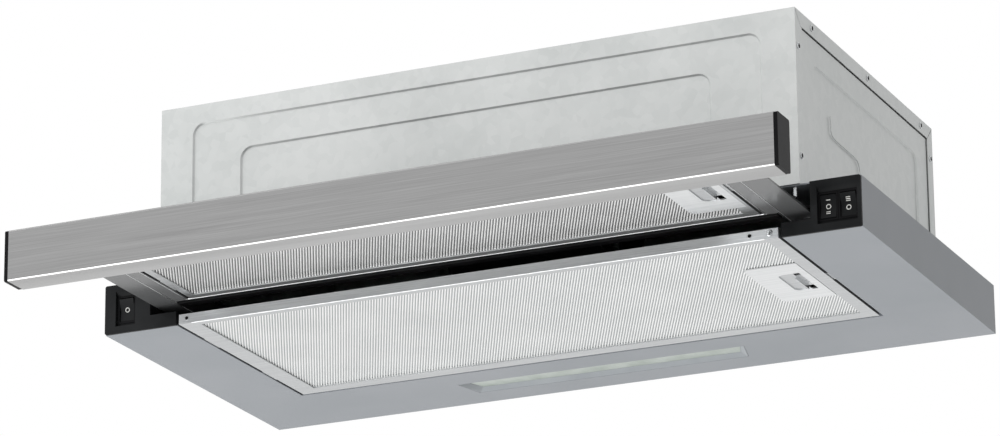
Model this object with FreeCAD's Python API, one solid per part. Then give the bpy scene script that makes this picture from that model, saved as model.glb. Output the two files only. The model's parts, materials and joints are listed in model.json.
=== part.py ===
import FreeCAD, Part
import math
import os

from collections import namedtuple
from FreeCAD import Vector

# A pull out cooker hood that is screwed under a wall cabinet. All sizes are in millimetres.
# It is drawn with its drawer pulled right out: x = 0 is the middle of the hood, y = 0 the front
# face of the base (y grows towards the wall) and z = 0 the underside of the base.
# The saved pieces are shifted so that the middle of the four cabinet screw holes is the origin.

# Base: the painted steel pan.
base_width = 600.0
base_height = 38.0
base_sheet = 1.0
base_back_margin = 26.0
base_ring_front = 12.0
base_ring_back = 14.0
ring_inset = 14.0
opening_lip = 6.0
cabinet_screw_radius = 2.5
cabinet_screw_margin = 22.0
cabinet_screw_span_y = 208.0

# Body: the box of galvanised sheet that stands on the base.
body_margin = 45.5
body_height = 132.5
body_setback = 0.5
body_overhang = 3.5
body_sheet = 0.8
body_foot = 12.0
body_back_foot = 20.0
top_wrap = 11.0
front_wrap = 13.3
back_wrap = 11.5
press_depth = 1.2
press_corner = 10.0
front_panel_margin = 26.5
front_panel_border = 14.5
front_step_side = 39.5
front_step_up = 24.0
side_panel_margin = 34.5
side_panel_border = 31.0

# Clearances.
seat_gap = 0.1
side_gap = 0.25
filter_gap = 2.5
pin_gap = 0.06
blade_overlap = 0.5

# Moulded blocks in the two front corners of the base, which hold the switches.
mouth_margin = 38.0
block_depth = 46.0
block_wall = 2.0
block_corner = 1.6
face_plate = 2.0
sill_height = 10.5
sill_depth = 34.0
pocket_depth = 3.2
pocket_low = 5.5
pocket_top_margin = 5.0
pocket_slope = 3.5
pocket_rim = 1.5
speed_pocket_edge = 3.0
speed_pocket_width = 30.0
lamp_pocket_edge = 9.0
lamp_pocket_width = 16.5

# Rocker switches.
rocker_width = 11.5
rocker_radius = 8.9
rocker_pitch = 15.0
rocker_drop = 0.75
rocker_pivot_depth = 5.0
rocker_front = 2.8
rocker_dip = 1.4
rocker_back = 4.0
rocker_tilt = 7.0
switch_wall = 1.0
switch_bezel = 0.4
switch_bezel_depth = 0.8
switch_depth = 24.0
switch_nib_radius = 1.2
terminal_length = 7.0
terminal_width = 4.8
terminal_sheet = 0.8
terminal_pitch = 6.0

# Drawer: fascia, pan and arms.
travel = 131.0
closed_gap = 0.5
fascia_margin = 2.5
fascia_height = 38.4
fascia_depth = 22.5
fascia_drop = 2.4
fascia_sheet = 1.0
fascia_bend = 1.2
cap_thickness = 3.0
cap_corner = 1.6
cap_plug = 8.0
cap_plug_wall = 1.5
drawer_under = 17.5
drawer_headroom = 3.0
drawer_sheet = 1.0
drawer_tail = 10.5
ledge_width = 11.0
arm_margin = 60.5
arm_sheet = 1.5
arm_reach = 135.0
arm_flange = 18.3
arm_front_corner = 6.0
rear_bar_gap = 0.7
rear_bar_depth = 8.4
rear_bar_drop = 2.0
rear_bar_height = 8.5
rear_bar_wall = 1.5
rear_bar_corner = 0.8

# Runners in the base.
rail_front = 10.0
rail_end_gap = 3.0
rail_wall = 2.0
rail_channel = 7.5
rail_depth = 10.0
shoe_length = 22.0
shoe_inset = 6.0
shoe_gap = 0.25
shoe_corner = 1.5
stop_length = 6.7
stop_gap = 0.3
bracket_sheet = 1.2
bracket_height = 25.0
bracket_foot = 17.0
bracket_front_gap = 1.0
bracket_slot_length = 20.0
bracket_slot_width = 8.0
bracket_slot_count = 3

# Grease filters.
filter_height = 7.5
filter_sheet = 0.8
base_filter_margin = 62.5
base_filter_depth = 206.0
drawer_filter_margin = 13.5
drawer_filter_depth = 126.5
drawer_filter_lift = 0.1
drawer_filter_front_gap = 2.5
ridge_pitch = 12.0
ridge_height = 1.3
ridge_sheet = 0.5
media_thickness = 3.0
tongue_width = 24.0
tongue_reach = 6.5
tongue_thickness = 1.0
tongue_bead = 0.9
tongue_place = 0.27
hinge_inset = 1.0
hinge_rise = 0.5

# Filter latch.
latch_plate_width = 41.0
latch_plate_length = 83.0
latch_plate_corner = 5.0
latch_plate_sheet = 0.8
latch_window_width = 17.0
latch_window_length = 40.0
latch_window_corner = 5.0
latch_lap = 2.0
base_latch_inset = 16.5
drawer_latch_inset = 8.5
latch_slide_sheet = 1.0
latch_slide_width = 26.0
latch_slide_lap = 1.0
latch_tab_length = 26.0
latch_tab_drop = 2.2
latch_tab_offset = 4.5
latch_nose_width = 16.0
latch_nose_reach = 1.6
latch_nose_corner = 1.0
latch_nose_gap = 0.6
latch_slot_gap = 0.3
spring_sheet = 0.4
spring_height = 2.5
spring_width = 9.0
spring_folds = 6
spring_length = 12.0

# Lamp behind the rear edge of the base filter.
lamp_half_length = 119.0
lamp_gap = 25.5
lamp_width = 28.0
lamp_slant = 7.0
lamp_corner = 2.0
lamp_bevel = 5.0
lamp_bevel_depth = 3.0
lamp_mouth_wall = 0.8
lamp_height = 14.0
lamp_flange = 5.0
lamp_wall = 1.5
lamp_hood_inset = 2.0
lens_sheet = 2.0
lens_seat = 1.2
led_board_width = 12.0
led_board_sheet = 1.2
led_count = 8
led_size = 3.0
led_height = 1.0
driver_length = 62.0
driver_width = 24.0
driver_height = 18.0
driver_gap = 24.0
driver_ear = 8.0
driver_ear_width = 12.0
driver_ear_sheet = 2.0

# Blower: a double inlet wheel in a scroll that blows up into the outlet.
blower_y = 118.0
blower_lift = 67.0
wheel_radius = 46.0
wheel_inner_radius = 37.0
wheel_half_width = 54.0
wheel_ring = 3.0
wheel_ring_lap = 1.0
wheel_disc = 2.0
blade_count = 24
blade_lean = 9.0
blade_bow = 2.5
blade_sheet_angle = 1.8
hub_radius = 9.0
hub_length = 20.0
hub_share = 0.6
shaft_radius = 4.0
shaft_fit = 0.02
scroll_first_radius = 50.0
scroll_rise = 24.0
scroll_tongue_angle = 60.0
scroll_arc_count = 5
scroll_half_width = 62.0
scroll_wall = 2.0
scroll_flange = 8.0
inlet_radius = 40.0
motor_radius = 31.0
motor_start = 10.0
motor_length = 52.0
shaft_end_gap = 3.0
motor_bell_radius = 12.0
motor_bell_front = 0.8
bracket_ring = 4.0
bracket_arm_width = 10.0
bracket_arm_sheet = 3.0
bracket_arm_reach = 54.0
bracket_arm_count = 3

# Outlet collar and its two damper flaps.
collar_radius = 59.5
collar_wall = 2.0
collar_height = 34.0
collar_flange = 7.0
collar_flange_sheet = 2.0
collar_flange_corner = 12.0
outlet_gap = 0.5
damper_pin_radius = 1.6
damper_pin_height = 2.6
damper_rest = 3.5
damper_rest_gap = 0.3
flap_gap = 0.9
flap_sheet = 1.2
knuckle_radius = 3.0
knuckle_width = 40.0
knuckle_gap = 0.4

# Electrical pieces inside the body.
capacitor_radius = 16.0
capacitor_length = 55.0
capacitor_x = 120.0
capacitor_back_gap = 43.5
nut_radius = 7.0
nut_height = 4.0
terminal_box_width = 70.0
terminal_box_depth = 46.0
terminal_box_height = 28.0
terminal_box_side_gap = 14.5
terminal_box_back_gap = 12.5
gland_bore = 4.5
gland_neck = 7.0
gland_nut = 10.0
gland_height = 12.0
gland_entry = 12.0
gland_drop = 6.0

# Places that follow from the sizes above.
base_x = base_width / 2
body_x = base_x - body_margin
mouth_half_width = base_x - mouth_margin
base_filter_width = base_width - 2 * base_filter_margin
opening_half_width = base_filter_width / 2 + filter_gap
opening_depth = base_filter_depth + filter_gap
lamp_front = opening_depth + lamp_gap
base_depth = lamp_front + lamp_width + base_back_margin
body_back = base_depth + body_overhang
body_top = base_height + body_height
under_top = body_top - body_sheet
pocket_high = base_height - pocket_top_margin
rocker_middle = (pocket_low + pocket_high) / 2 - rocker_drop
fascia_length = base_width - 2 * fascia_margin
fascia_back = -(travel + closed_gap)
fascia_front = fascia_back - fascia_depth
arm_web_x = base_x - arm_margin
arm_outer_x = arm_web_x + arm_sheet + arm_flange
ledge_x = arm_web_x - ledge_width
drawer_top = base_height - drawer_headroom
drawer_filter_width = 2 * (arm_web_x - drawer_filter_margin)
filter_front = fascia_back + drawer_filter_front_gap
filter_back = filter_front + drawer_filter_depth
drawer_end = filter_back + drawer_tail
rail_x = mouth_half_width - rail_depth
rail_low = drawer_under + arm_sheet / 2 - rail_channel / 2
blower_z = base_height + blower_lift
outlet_front = blower_y + scroll_first_radius * math.cos(math.radians(scroll_tongue_angle))
outlet_back = outlet_front + 2 * collar_radius + 2 * outlet_gap
outlet_y = (outlet_front + outlet_back) / 2
damper_axis_z = body_top + damper_pin_height
terminal_box_x = body_x - terminal_box_side_gap - terminal_box_width / 2
terminal_box_y = body_back - terminal_box_back_gap - terminal_box_depth / 2
capacitor_y = body_back - capacitor_back_gap
speed_pocket_outer = base_x - speed_pocket_edge
lamp_pocket_outer = base_x - lamp_pocket_edge
speed_x = speed_pocket_outer - speed_pocket_width / 2 - rocker_pitch / 2
boost_x = speed_x + rocker_pitch
lamp_x = lamp_pocket_outer - lamp_pocket_width / 2

# The lips of each filter's frame, on its underside.
base_filter_lips = {"left": 15.0, "right": 10.0, "front": 7.0, "back": 12.0}
drawer_filter_lips = {"left": 6.0, "right": 10.0, "front": 7.0, "back": 8.0}

axis_x = Vector(1, 0, 0)
axis_y = Vector(0, 1, 0)
axis_z = Vector(0, 0, 1)


def box(x0, x1, y0, y1, z0, z1):
    """A block between two corners."""
    return Part.makeBox(x1 - x0, y1 - y0, z1 - z0, Vector(x0, y0, z0))


def rod(radius, start, direction, length):
    """A round bar from a start point."""
    return Part.makeCylinder(radius, length, start, direction)


def ring(outer, inner, start, direction, length):
    """A tube from a start point."""
    return rod(outer, start, direction, length).cut(rod(inner, start, direction, length))


def corner_arc(before, corner, after, radius):
    """The start, middle and end of the arc that rounds one corner."""
    one = (before - corner).normalize()
    other = (after - corner).normalize()
    half = one.getAngle(other) / 2
    inward = (one + other).normalize()
    reach = radius / math.tan(half)
    middle = corner + inward * (radius / math.sin(half) - radius)
    return corner + one * reach, middle, corner + other * reach


def outline(points):
    """A closed wire through (point, corner radius) pairs."""
    edges = []
    stops = []
    for index, (corner, radius) in enumerate(points):
        before = points[index - 1][0]
        after = points[(index + 1) % len(points)][0]
        if radius > 0:
            start, middle, end = corner_arc(before, corner, after, radius)
            stops.append((start, end, Part.Arc(start, middle, end).toShape()))
        else:
            stops.append((corner, corner, None))
    for index, (start, end, arc) in enumerate(stops):
        if arc:
            edges.append(arc)
        following = stops[(index + 1) % len(stops)][0]
        edges.append(Part.LineSegment(end, following).toShape())
    return Part.Wire(edges)


def slab(points, push):
    """An outline pushed along a vector into a solid."""
    return Part.Face(outline(points)).extrude(push)


def slab_xy(points, z0, z1):
    return slab([(Vector(x, y, z0), radius) for x, y, radius in points], axis_z * (z1 - z0))


def slab_xz(points, y0, y1):
    return slab([(Vector(x, y0, z), radius) for x, z, radius in points], axis_y * (y1 - y0))


def slab_yz(points, x0, x1):
    return slab([(Vector(x0, y, z), radius) for y, z, radius in points], axis_x * (x1 - x0))


def rectangle(u0, u1, v0, v1, radius):
    """The four corners of a rounded rectangle."""
    return [(u0, v0, radius), (u1, v0, radius), (u1, v1, radius), (u0, v1, radius)]


def mirrored(shape):
    """The same piece on the other side of the middle plane."""
    return shape.mirror(Vector(0, 0, 0), axis_x)


def pressed_frustum(u0, u1, v0, v1, place, start, end, slope):
    """A rounded block whose four sides slope inwards from one depth to the other."""
    wires = []
    for depth, inset in ((start, 0), (end, slope)):
        corners = rectangle(u0 + inset, u1 - inset, v0 + inset, v1 - inset, press_corner - inset)
        wires.append(outline([(place(u, v, depth), radius) for u, v, radius in corners]))
    return Part.makeLoft(wires, True, True)


def press(sheet, u0, u1, v0, v1, place, level):
    """Presses a rounded rectangle into a sheet, one step deeper than the given level."""
    bump = pressed_frustum(u0, u1, v0, v1, place, level + body_sheet,
                           level + press_depth + body_sheet, press_depth)
    hollow = pressed_frustum(u0, u1, v0, v1, place, level, level + press_depth, press_depth)
    return sheet.fuse(bump).cut(hollow)


# Base and body.

def cabinet_screw_places():
    """The four places where the base is screwed under the cabinet."""
    x = base_x - cabinet_screw_margin
    y = cabinet_screw_span_y / 2
    return [Vector(sign_x * x, base_depth / 2 + sign_y * y, 0)
            for sign_x in (-1, 1) for sign_y in (-1, 1)]


def lamp_outline(inset):
    """The slot for the lamp, with its slanted ends."""
    x = lamp_half_length - inset
    front = lamp_front + inset
    back = lamp_front + lamp_width - inset
    return [(-x, front, 0), (x, front, 0), (x - lamp_slant, back, lamp_corner),
            (-x + lamp_slant, back, lamp_corner)]


def base_frame():
    """Bottom plate with its openings, side walls, back wall and the lip behind the filter."""
    x = base_x
    plate = box(-x, x, face_plate, base_depth, 0, base_sheet)
    walls = [box(-x, -x + base_sheet, face_plate, base_depth, 0, base_height),
             box(x - base_sheet, x, face_plate, base_depth, 0, base_height),
             box(-x, x, base_depth - base_sheet, base_depth, 0, base_height)]
    lip = box(-opening_half_width, opening_half_width, opening_depth, opening_depth + base_sheet, 0,
              base_sheet + opening_lip)
    filter_opening = box(-opening_half_width, opening_half_width, 0, opening_depth, -1, base_sheet + 1)
    lamp_slot = slab_xy(lamp_outline(0), -1, base_sheet + 1)
    return plate.fuse(walls + [lip]).cut([filter_opening, lamp_slot])


def base_ring():
    """Flat ring inside the walls' upper edge; it is screwed to the cabinet and carries the body."""
    x = base_x - base_sheet - seat_gap
    low = base_height - base_sheet
    plate = box(-x, x, face_plate, base_depth - base_sheet - seat_gap, low, base_height)
    hole_x = body_x - ring_inset
    hole = box(-hole_x, hole_x, face_plate + base_ring_front, base_depth - base_ring_back,
               low - 1, base_height + 1)
    screws = [rod(cabinet_screw_radius, place + axis_z * (low - 1), axis_z, base_sheet + 2)
              for place in cabinet_screw_places()]
    return plate.cut([hole] + screws)


def body_front_panel():
    """Front of the body with two pressed steps, side wraps and a foot."""
    front = body_setback
    inner = front + body_sheet
    panel = box(-body_x, body_x, front, inner, base_height, under_top)

    def place(u, v, depth):
        return Vector(u, front + depth, v)

    outer_x = body_x - front_panel_margin
    low = base_height + front_panel_border
    high = body_top - front_panel_border
    panel = press(panel, -outer_x, outer_x, low, high, place, 0)
    inner_x = outer_x - front_step_side
    panel = press(panel, -inner_x, inner_x, low + front_step_up, high - front_step_up, place,
                  press_depth)
    end = front + front_wrap
    high = body_top - top_wrap - side_gap
    wrap = slab_yz([(front, base_height, 0), (end, base_height, 0), (end, high, 0),
                    (front + top_wrap, high, 0), (front, under_top, 0)], body_x - body_sheet, body_x)
    foot_x = body_x - 3 * body_sheet
    foot = box(-foot_x, foot_x, inner, front + body_foot, base_height, base_height + body_sheet)
    return panel.fuse([wrap, mirrored(wrap), foot])


def body_back_panel():
    """Back of the body with its side wraps and foot."""
    inner = body_back - body_sheet
    panel = box(-body_x, body_x, inner, body_back, base_height, under_top)
    start = body_back - back_wrap
    high = body_top - top_wrap - side_gap
    wrap = slab_yz([(start, base_height, 0), (body_back, base_height, 0), (body_back, under_top, 0),
                    (body_back - top_wrap, high, 0), (start, high, 0)], body_x - body_sheet, body_x)
    foot_x = body_x - 3 * body_sheet
    foot = box(-foot_x, foot_x, body_back - body_back_foot, inner, base_height,
               base_height + body_sheet)
    return panel.fuse([wrap, mirrored(wrap), foot])


def body_side():
    """Right-hand side panel, under the wraps, with a pressed step and a foot."""
    outer = body_x - body_sheet - seat_gap
    inner = outer - body_sheet
    front = body_setback + body_sheet + seat_gap
    back = body_back - body_sheet - seat_gap
    panel = box(inner, outer, front, back, base_height, under_top - seat_gap)

    def place(u, v, depth):
        return Vector(outer - depth, u, v)

    panel = press(panel, body_setback + side_panel_margin, body_back - side_panel_margin,
                  base_height + side_panel_border, body_top - side_panel_border, place, 0)
    foot = box(outer - body_foot, inner, body_setback + body_foot + side_gap,
               body_back - body_back_foot - side_gap, base_height, base_height + body_sheet)
    return panel.fuse(foot)


def body_top_panel():
    """Lid of the body with mitred side wraps, the outlet hole and the cable hole."""
    lid = box(-body_x, body_x, body_setback, body_back, under_top, body_top)
    low = body_top - top_wrap
    front = body_setback + body_sheet + side_gap
    back = body_back - body_sheet - side_gap
    slope = top_wrap - body_sheet
    wrap = slab_yz([(front, under_top, 0), (front + slope, low, 0), (back - slope, low, 0),
                    (back, under_top, 0)], body_x - body_sheet, body_x)
    outlet = rod(collar_radius - collar_wall - damper_rest, Vector(0, outlet_y, under_top - 1), axis_z,
                 body_sheet + 2)
    cable = rod(gland_neck + seat_gap, Vector(terminal_box_x, terminal_box_y, under_top - 1),
                axis_z, body_sheet + 2)
    return lid.fuse([wrap, mirrored(wrap)]).cut([outlet, cable])


# Switch blocks.

def switch_opening(place, grow):
    """Half sizes of a switch body, grown by a clearance, as x and z limits."""
    half_x = rocker_width / 2 + side_gap + switch_wall + grow
    half_z = rocker_radius + side_gap + switch_wall + grow
    return place - half_x, place + half_x, rocker_middle - half_z, rocker_middle + half_z


def switch_block(pocket_outer, pocket_width, rocker_places):
    """Right-hand corner block: face plate, hollow box, sill and a pocket for the switches."""
    inner = opening_half_width
    mouth = mouth_half_width
    face = slab_xz([(inner, 0, 0), (base_x, 0, block_corner), (base_x, base_height, block_corner),
                    (mouth, base_height, 0), (mouth, sill_height, 0), (inner, sill_height, 0)],
                   0, face_plate)
    low = base_sheet + seat_gap
    high = base_height - base_sheet - seat_gap
    side = base_x - base_sheet - seat_gap
    outer_box = box(mouth, side, face_plate, block_depth, low, high)
    hollow = box(mouth + block_wall, side - block_wall, face_plate, block_depth + 1,
                 low + block_wall, high - block_wall)
    sill = box(inner, mouth, face_plate, sill_depth, low, sill_height)
    sill_hollow = box(inner + block_wall, mouth - block_wall, face_plate, sill_depth - block_wall,
                      low - 1, sill_height - block_wall)
    pocket_inner = pocket_outer - pocket_width
    pocket_back = pocket_depth + block_wall
    pocket_box = box(pocket_inner - pocket_rim, pocket_outer + pocket_rim, face_plate / 2,
                     pocket_back, pocket_low - pocket_rim, pocket_high + pocket_rim)
    block = face.fuse([outer_box.cut(hollow), sill.cut(sill_hollow), pocket_box])
    pocket = slab_yz([(-1, pocket_low, 0), (pocket_depth, pocket_low, 0),
                      (pocket_depth, pocket_high - pocket_slope, 0), (0, pocket_high, 0),
                      (-1, pocket_high, 0)], pocket_inner, pocket_outer)
    cuts = [pocket]
    for place in rocker_places:
        x0, x1, z0, z1 = switch_opening(place, seat_gap)
        cuts.append(box(x0, x1, pocket_depth - 1, pocket_back + 1, z0, z1))
    return block.cut(cuts)


def switch_body(place):
    """One switch: an open box with two nibs for the rocker and three terminals behind."""
    front = pocket_depth - switch_bezel_depth
    x0, x1, z0, z1 = switch_opening(place, 0)
    shell = box(x0, x1, front, switch_depth, z0, z1)
    bx0, bx1, bz0, bz1 = switch_opening(place, switch_bezel)
    bezel = box(bx0, bx1, front, pocket_depth, bz0, bz1)
    cx0, cx1, cz0, cz1 = switch_opening(place, -switch_wall)
    cavity = box(cx0, cx1, front - 1, rocker_pivot_depth + rocker_radius, cz0, cz1)
    reach = switch_wall + side_gap
    nibs = [rod(switch_nib_radius, Vector(cx0, rocker_pivot_depth, rocker_middle), axis_x, reach),
            rod(switch_nib_radius, Vector(cx1, rocker_pivot_depth, rocker_middle), -axis_x, reach)]
    blades = []
    for step in (-1, 0, 1):
        z = rocker_middle + step * terminal_pitch
        blades.append(box(place - terminal_width / 2, place + terminal_width / 2, switch_depth,
                          switch_depth + terminal_length, z - terminal_sheet / 2,
                          z + terminal_sheet / 2))
    return shell.fuse(bezel).cut(cavity).fuse(nibs + blades)


def rocker(place, tilt):
    """A rocker with a shallow V face and round ends, turned by its resting tilt."""
    reach = math.sqrt(rocker_radius ** 2 - rocker_front ** 2)
    back_reach = math.sqrt(rocker_radius ** 2 - rocker_back ** 2)
    x0 = place - rocker_width / 2

    def point(y, z):
        return Vector(x0, rocker_pivot_depth + y, rocker_middle + z)

    upper = Part.Arc(point(-rocker_front, reach), point(0, rocker_radius),
                     point(rocker_back, back_reach))
    lower = Part.Arc(point(rocker_back, -back_reach), point(0, -rocker_radius),
                     point(-rocker_front, -reach))
    edges = [upper.toShape(),
             Part.LineSegment(point(rocker_back, back_reach),
                              point(rocker_back, -back_reach)).toShape(),
             lower.toShape(),
             Part.LineSegment(point(-rocker_front, -reach), point(-rocker_dip, 0)).toShape(),
             Part.LineSegment(point(-rocker_dip, 0), point(-rocker_front, reach)).toShape()]
    solid = Part.Face(Part.Wire(edges)).extrude(axis_x * rocker_width)
    depth = switch_wall + side_gap
    pivot = Vector(x0, rocker_pivot_depth, rocker_middle)
    bores = [rod(switch_nib_radius + pin_gap, pivot, axis_x, depth),
             rod(switch_nib_radius + pin_gap, pivot + axis_x * rocker_width, -axis_x, depth)]
    solid = solid.cut(bores)
    solid.rotate(pivot, axis_x, tilt)
    return solid


# Drawer.

def fascia_panel():
    """The stainless front: a sheet folded back at the top and the bottom."""
    low = -fascia_drop
    high = low + fascia_height
    sheet = fascia_sheet
    half = fascia_length / 2 - cap_thickness
    return slab_yz([(fascia_back, low, 0), (fascia_front, low, fascia_bend),
                    (fascia_front, high, fascia_bend), (fascia_back, high, 0),
                    (fascia_back, high - sheet, 0), (fascia_front + sheet, high - sheet, 0),
                    (fascia_front + sheet, low + sheet, 0), (fascia_back, low + sheet, 0)],
                   -half, half)


def fascia_cap():
    """Right-hand end cap with its hollow plug."""
    low = -fascia_drop
    high = low + fascia_height
    end = fascia_length / 2
    plate = slab_yz(rectangle(fascia_front, fascia_back, low, high, cap_corner),
                    end - cap_thickness, end)
    inset = fascia_sheet + seat_gap
    inner_x = end - cap_thickness - cap_plug
    plug = box(inner_x, end - cap_thickness, fascia_front + inset, fascia_back - cap_plug_wall,
               low + inset, high - inset)
    hollow = box(inner_x - 1, end - cap_thickness, fascia_front + inset + cap_plug_wall,
                 fascia_back - 2 * cap_plug_wall, low + inset + cap_plug_wall,
                 high - inset - cap_plug_wall)
    return plate.fuse(plug.cut(hollow))


def fascia_back_plate():
    """Steel plate that closes the back of the fascia and carries the pan."""
    inset = fascia_sheet + seat_gap
    half = fascia_length / 2 - cap_thickness - cap_plug - seat_gap
    back = fascia_back - drawer_sheet / 2
    return box(-half, half, back - drawer_sheet, back, -fascia_drop + inset,
               -fascia_drop + fascia_height - inset)


def drawer_pan():
    """Sheet pan of the drawer: top, front, sides and the two ledges for its filter."""
    front = fascia_back - drawer_sheet / 2 + seat_gap
    x = arm_web_x - seat_gap
    ledge_end = filter_back + rear_bar_gap - seat_gap
    top = box(-x, x, front, drawer_end, drawer_top - drawer_sheet, drawer_top)
    front_wall = box(-x, x, front, front + drawer_sheet, drawer_under, drawer_top)
    side = box(x - drawer_sheet, x, front, drawer_end, drawer_under, drawer_top)
    ledge = box(ledge_x, x, front, ledge_end, drawer_under, drawer_under + drawer_sheet)
    return top.fuse([front_wall, side, ledge, mirrored(side), mirrored(ledge)])


def drawer_arm():
    """Right arm: a web beside the pan and a flange that runs in the rail."""
    front = fascia_back + seat_gap
    web = box(arm_web_x, arm_web_x + arm_sheet, front, arm_reach, drawer_under,
              drawer_top - drawer_sheet)
    flange = slab_xy([(arm_web_x, front, 0), (arm_outer_x, front, arm_front_corner),
                      (arm_outer_x, arm_reach, 0), (arm_web_x, arm_reach, 0)],
                     drawer_under, drawer_under + arm_sheet)
    return web.fuse(flange)


def slide_shoe():
    """Nylon shoe on the tail of the right arm's flange."""
    middle = drawer_under + arm_sheet / 2
    half = rail_channel / 2 - shoe_gap
    outer = mouth_half_width - rail_wall - shoe_gap
    inner = outer - 2 * shoe_inset
    front = arm_reach - shoe_length
    end = arm_reach + shoe_corner
    shoe = slab_xy([(inner, front, 0), (outer, front, shoe_corner), (outer, end, shoe_corner),
                    (inner, end, 0)], middle - half, middle + half)
    slot = box(inner - 1, arm_outer_x + seat_gap, front - 1, arm_reach + seat_gap,
               drawer_under - seat_gap, drawer_under + arm_sheet + seat_gap)
    return shoe.cut(slot)


def rear_bar():
    """Black bar behind the drawer's filter, open at the top."""
    x = arm_web_x - drawer_sheet - 2 * seat_gap
    front = filter_back + rear_bar_gap
    back = front + rear_bar_depth
    low = drawer_under - rear_bar_drop
    high = low + rear_bar_height
    wall = rear_bar_wall
    bar = slab_yz([(front, low, rear_bar_corner), (back, low, rear_bar_corner), (back, high, 0),
                   (front, high, 0)], -x, x)
    hollow = box(-x + wall, x - wall, front + wall, back - wall, low + wall, high + 1)
    return bar.cut(hollow)


def slide_rail():
    """Right-hand runner: a C channel with a stop lug that meets the shoe."""
    end = base_depth - base_sheet - rail_end_gap
    inner = mouth_half_width - rail_wall
    low = rail_low
    high = low + rail_channel
    body = box(rail_x, mouth_half_width, rail_front, end, low - rail_wall, high + rail_wall)
    channel = box(rail_x - 1, inner, rail_front - 1, end + 1, low, high)
    stop_end = arm_reach - shoe_length - stop_gap
    lug = box(rail_x, inner, stop_end - stop_length, stop_end, low, high)
    slot = box(rail_x - 1, inner + 0.5, stop_end - stop_length - 1, stop_end + 1,
               drawer_under - shoe_gap, drawer_under + arm_sheet + shoe_gap)
    return body.cut(channel).fuse(lug.cut(slot))


def rail_bracket():
    """Folded steel angle that stands on the bottom plate and holds the rail."""
    x = mouth_half_width + seat_gap
    end = base_depth - base_sheet - rail_end_gap
    low = base_sheet + seat_gap
    front = block_depth + bracket_front_gap
    foot_end = x + bracket_sheet + bracket_foot
    web = box(x, x + bracket_sheet, front, end, low, low + bracket_height)
    foot = box(x, foot_end, front, end, low, low + bracket_sheet)
    middle = (x + bracket_sheet + foot_end) / 2
    half = bracket_slot_width / 2
    spacing = (end - front) / bracket_slot_count
    slots = []
    for index in range(bracket_slot_count):
        y = front + (index + 0.5) * spacing - bracket_slot_length / 2
        slots.append(box(middle - half, middle + half, y, y + bracket_slot_length, low - 1,
                         low + bracket_sheet + 1))
    return web.fuse(foot).cut(slots)


# Grease filters. A filter is described by its width, its front edge, its depth, the height of its
# underside, how far its latch window lies from its right end, and its frame's four lips.

Filter = namedtuple("Filter", "width front depth low latch_inset lips")


def filter_frame(one):
    """Aluminium channel all round, with tongues at the left end and a slot for the latch nose."""
    x = one.width / 2
    back = one.front + one.depth
    high = one.low + filter_height
    sheet = filter_sheet
    shell = box(-x, x, one.front, back, one.low, high)
    cavity = box(-x + sheet, x - sheet, one.front + sheet, back - sheet, one.low + sheet, high - sheet)
    window = box(-x + one.lips["left"], x - one.lips["right"], one.front + one.lips["front"],
                 back - one.lips["back"], one.low - 1, high + 1)
    middle = one.front + one.depth / 2
    nose = latch_nose_width / 2 + latch_nose_gap
    level = latch_level(one)
    slot = box(x - 2 * sheet, x + 1, middle - nose, middle + nose, level - latch_slot_gap,
               level + latch_slide_sheet + latch_slot_gap)
    outer = latch_plate_outer(one)
    half = latch_plate_length / 2 + seat_gap
    recess = box(outer - latch_plate_width, outer + seat_gap, middle - half, middle + half,
                 one.low - 1, one.low + sheet + seat_gap)
    frame = shell.cut([cavity, window, slot, recess])
    return frame.fuse([tongue(one, share) for share in (tongue_place, 1 - tongue_place)])


def tongue(one, share):
    """A tongue that hooks over the edge of the opening, with the round bead it turns on."""
    x = -one.width / 2
    bead_x, bead_z = hinge_point(one)
    start = one.front + one.depth * share - tongue_width / 2
    bead = rod(tongue_bead, Vector(bead_x, start, bead_z), axis_y, tongue_width)
    under = bead_z - tongue_bead / 3
    strip = box(x - filter_gap - tongue_reach + tongue_bead, x, start, start + tongue_width, under,
                under + tongue_thickness)
    return strip.fuse(bead)


def hinge_point(one):
    """The line that a filter turns on, as x and z."""
    return -one.width / 2 - filter_gap + hinge_inset, one.low + base_sheet + hinge_rise


def latch_level(one):
    """Height of the underside of the sliding bolt."""
    return one.low + latch_plate_sheet + 2 * seat_gap


def latch_plate_outer(one):
    """The right-hand edge of the latch plate."""
    window_end = one.width / 2 - one.latch_inset
    return window_end + (latch_plate_width - latch_window_width) / 4


def filter_mesh(one):
    """The expanded metal face, drawn as one sheet of ridges that run front to back."""
    x = one.width / 2 - filter_sheet - side_gap
    start = one.front + filter_sheet + side_gap
    length = one.depth - 2 * (filter_sheet + side_gap)
    count = int(2 * x / ridge_pitch)
    first = -count * ridge_pitch / 2
    base = one.low + filter_sheet + seat_gap
    lower = []
    for step in range(2 * count + 1):
        rise = ridge_height if step % 2 else 0.0
        lower.append(Vector(first + step * ridge_pitch / 2, start, base + rise))
    upper = [point + axis_z * ridge_sheet for point in reversed(lower)]
    sheet = Part.Face(Part.makePolygon(lower + upper + [lower[0]])).extrude(axis_y * length)
    return sheet.cut(latch_pocket(one))


def latch_pocket(one):
    """The space round the latch that the mesh and its padding leave free."""
    middle = one.front + one.depth / 2
    inner = latch_plate_outer(one) - latch_plate_width + latch_lap
    half = latch_plate_length / 2 - latch_lap
    return box(inner, one.width / 2, middle - half, middle + half, one.low - 1,
               one.low + filter_height + 1)


def filter_padding(one):
    """The knitted layers that lie on the face sheet."""
    x = one.width / 2 - filter_sheet - side_gap
    start = one.front + filter_sheet + side_gap
    end = one.front + one.depth - filter_sheet - side_gap
    base = one.low + filter_sheet + ridge_height + ridge_sheet + 2 * seat_gap
    return box(-x, x, start, end, base, base + media_thickness).cut(latch_pocket(one))


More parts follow.
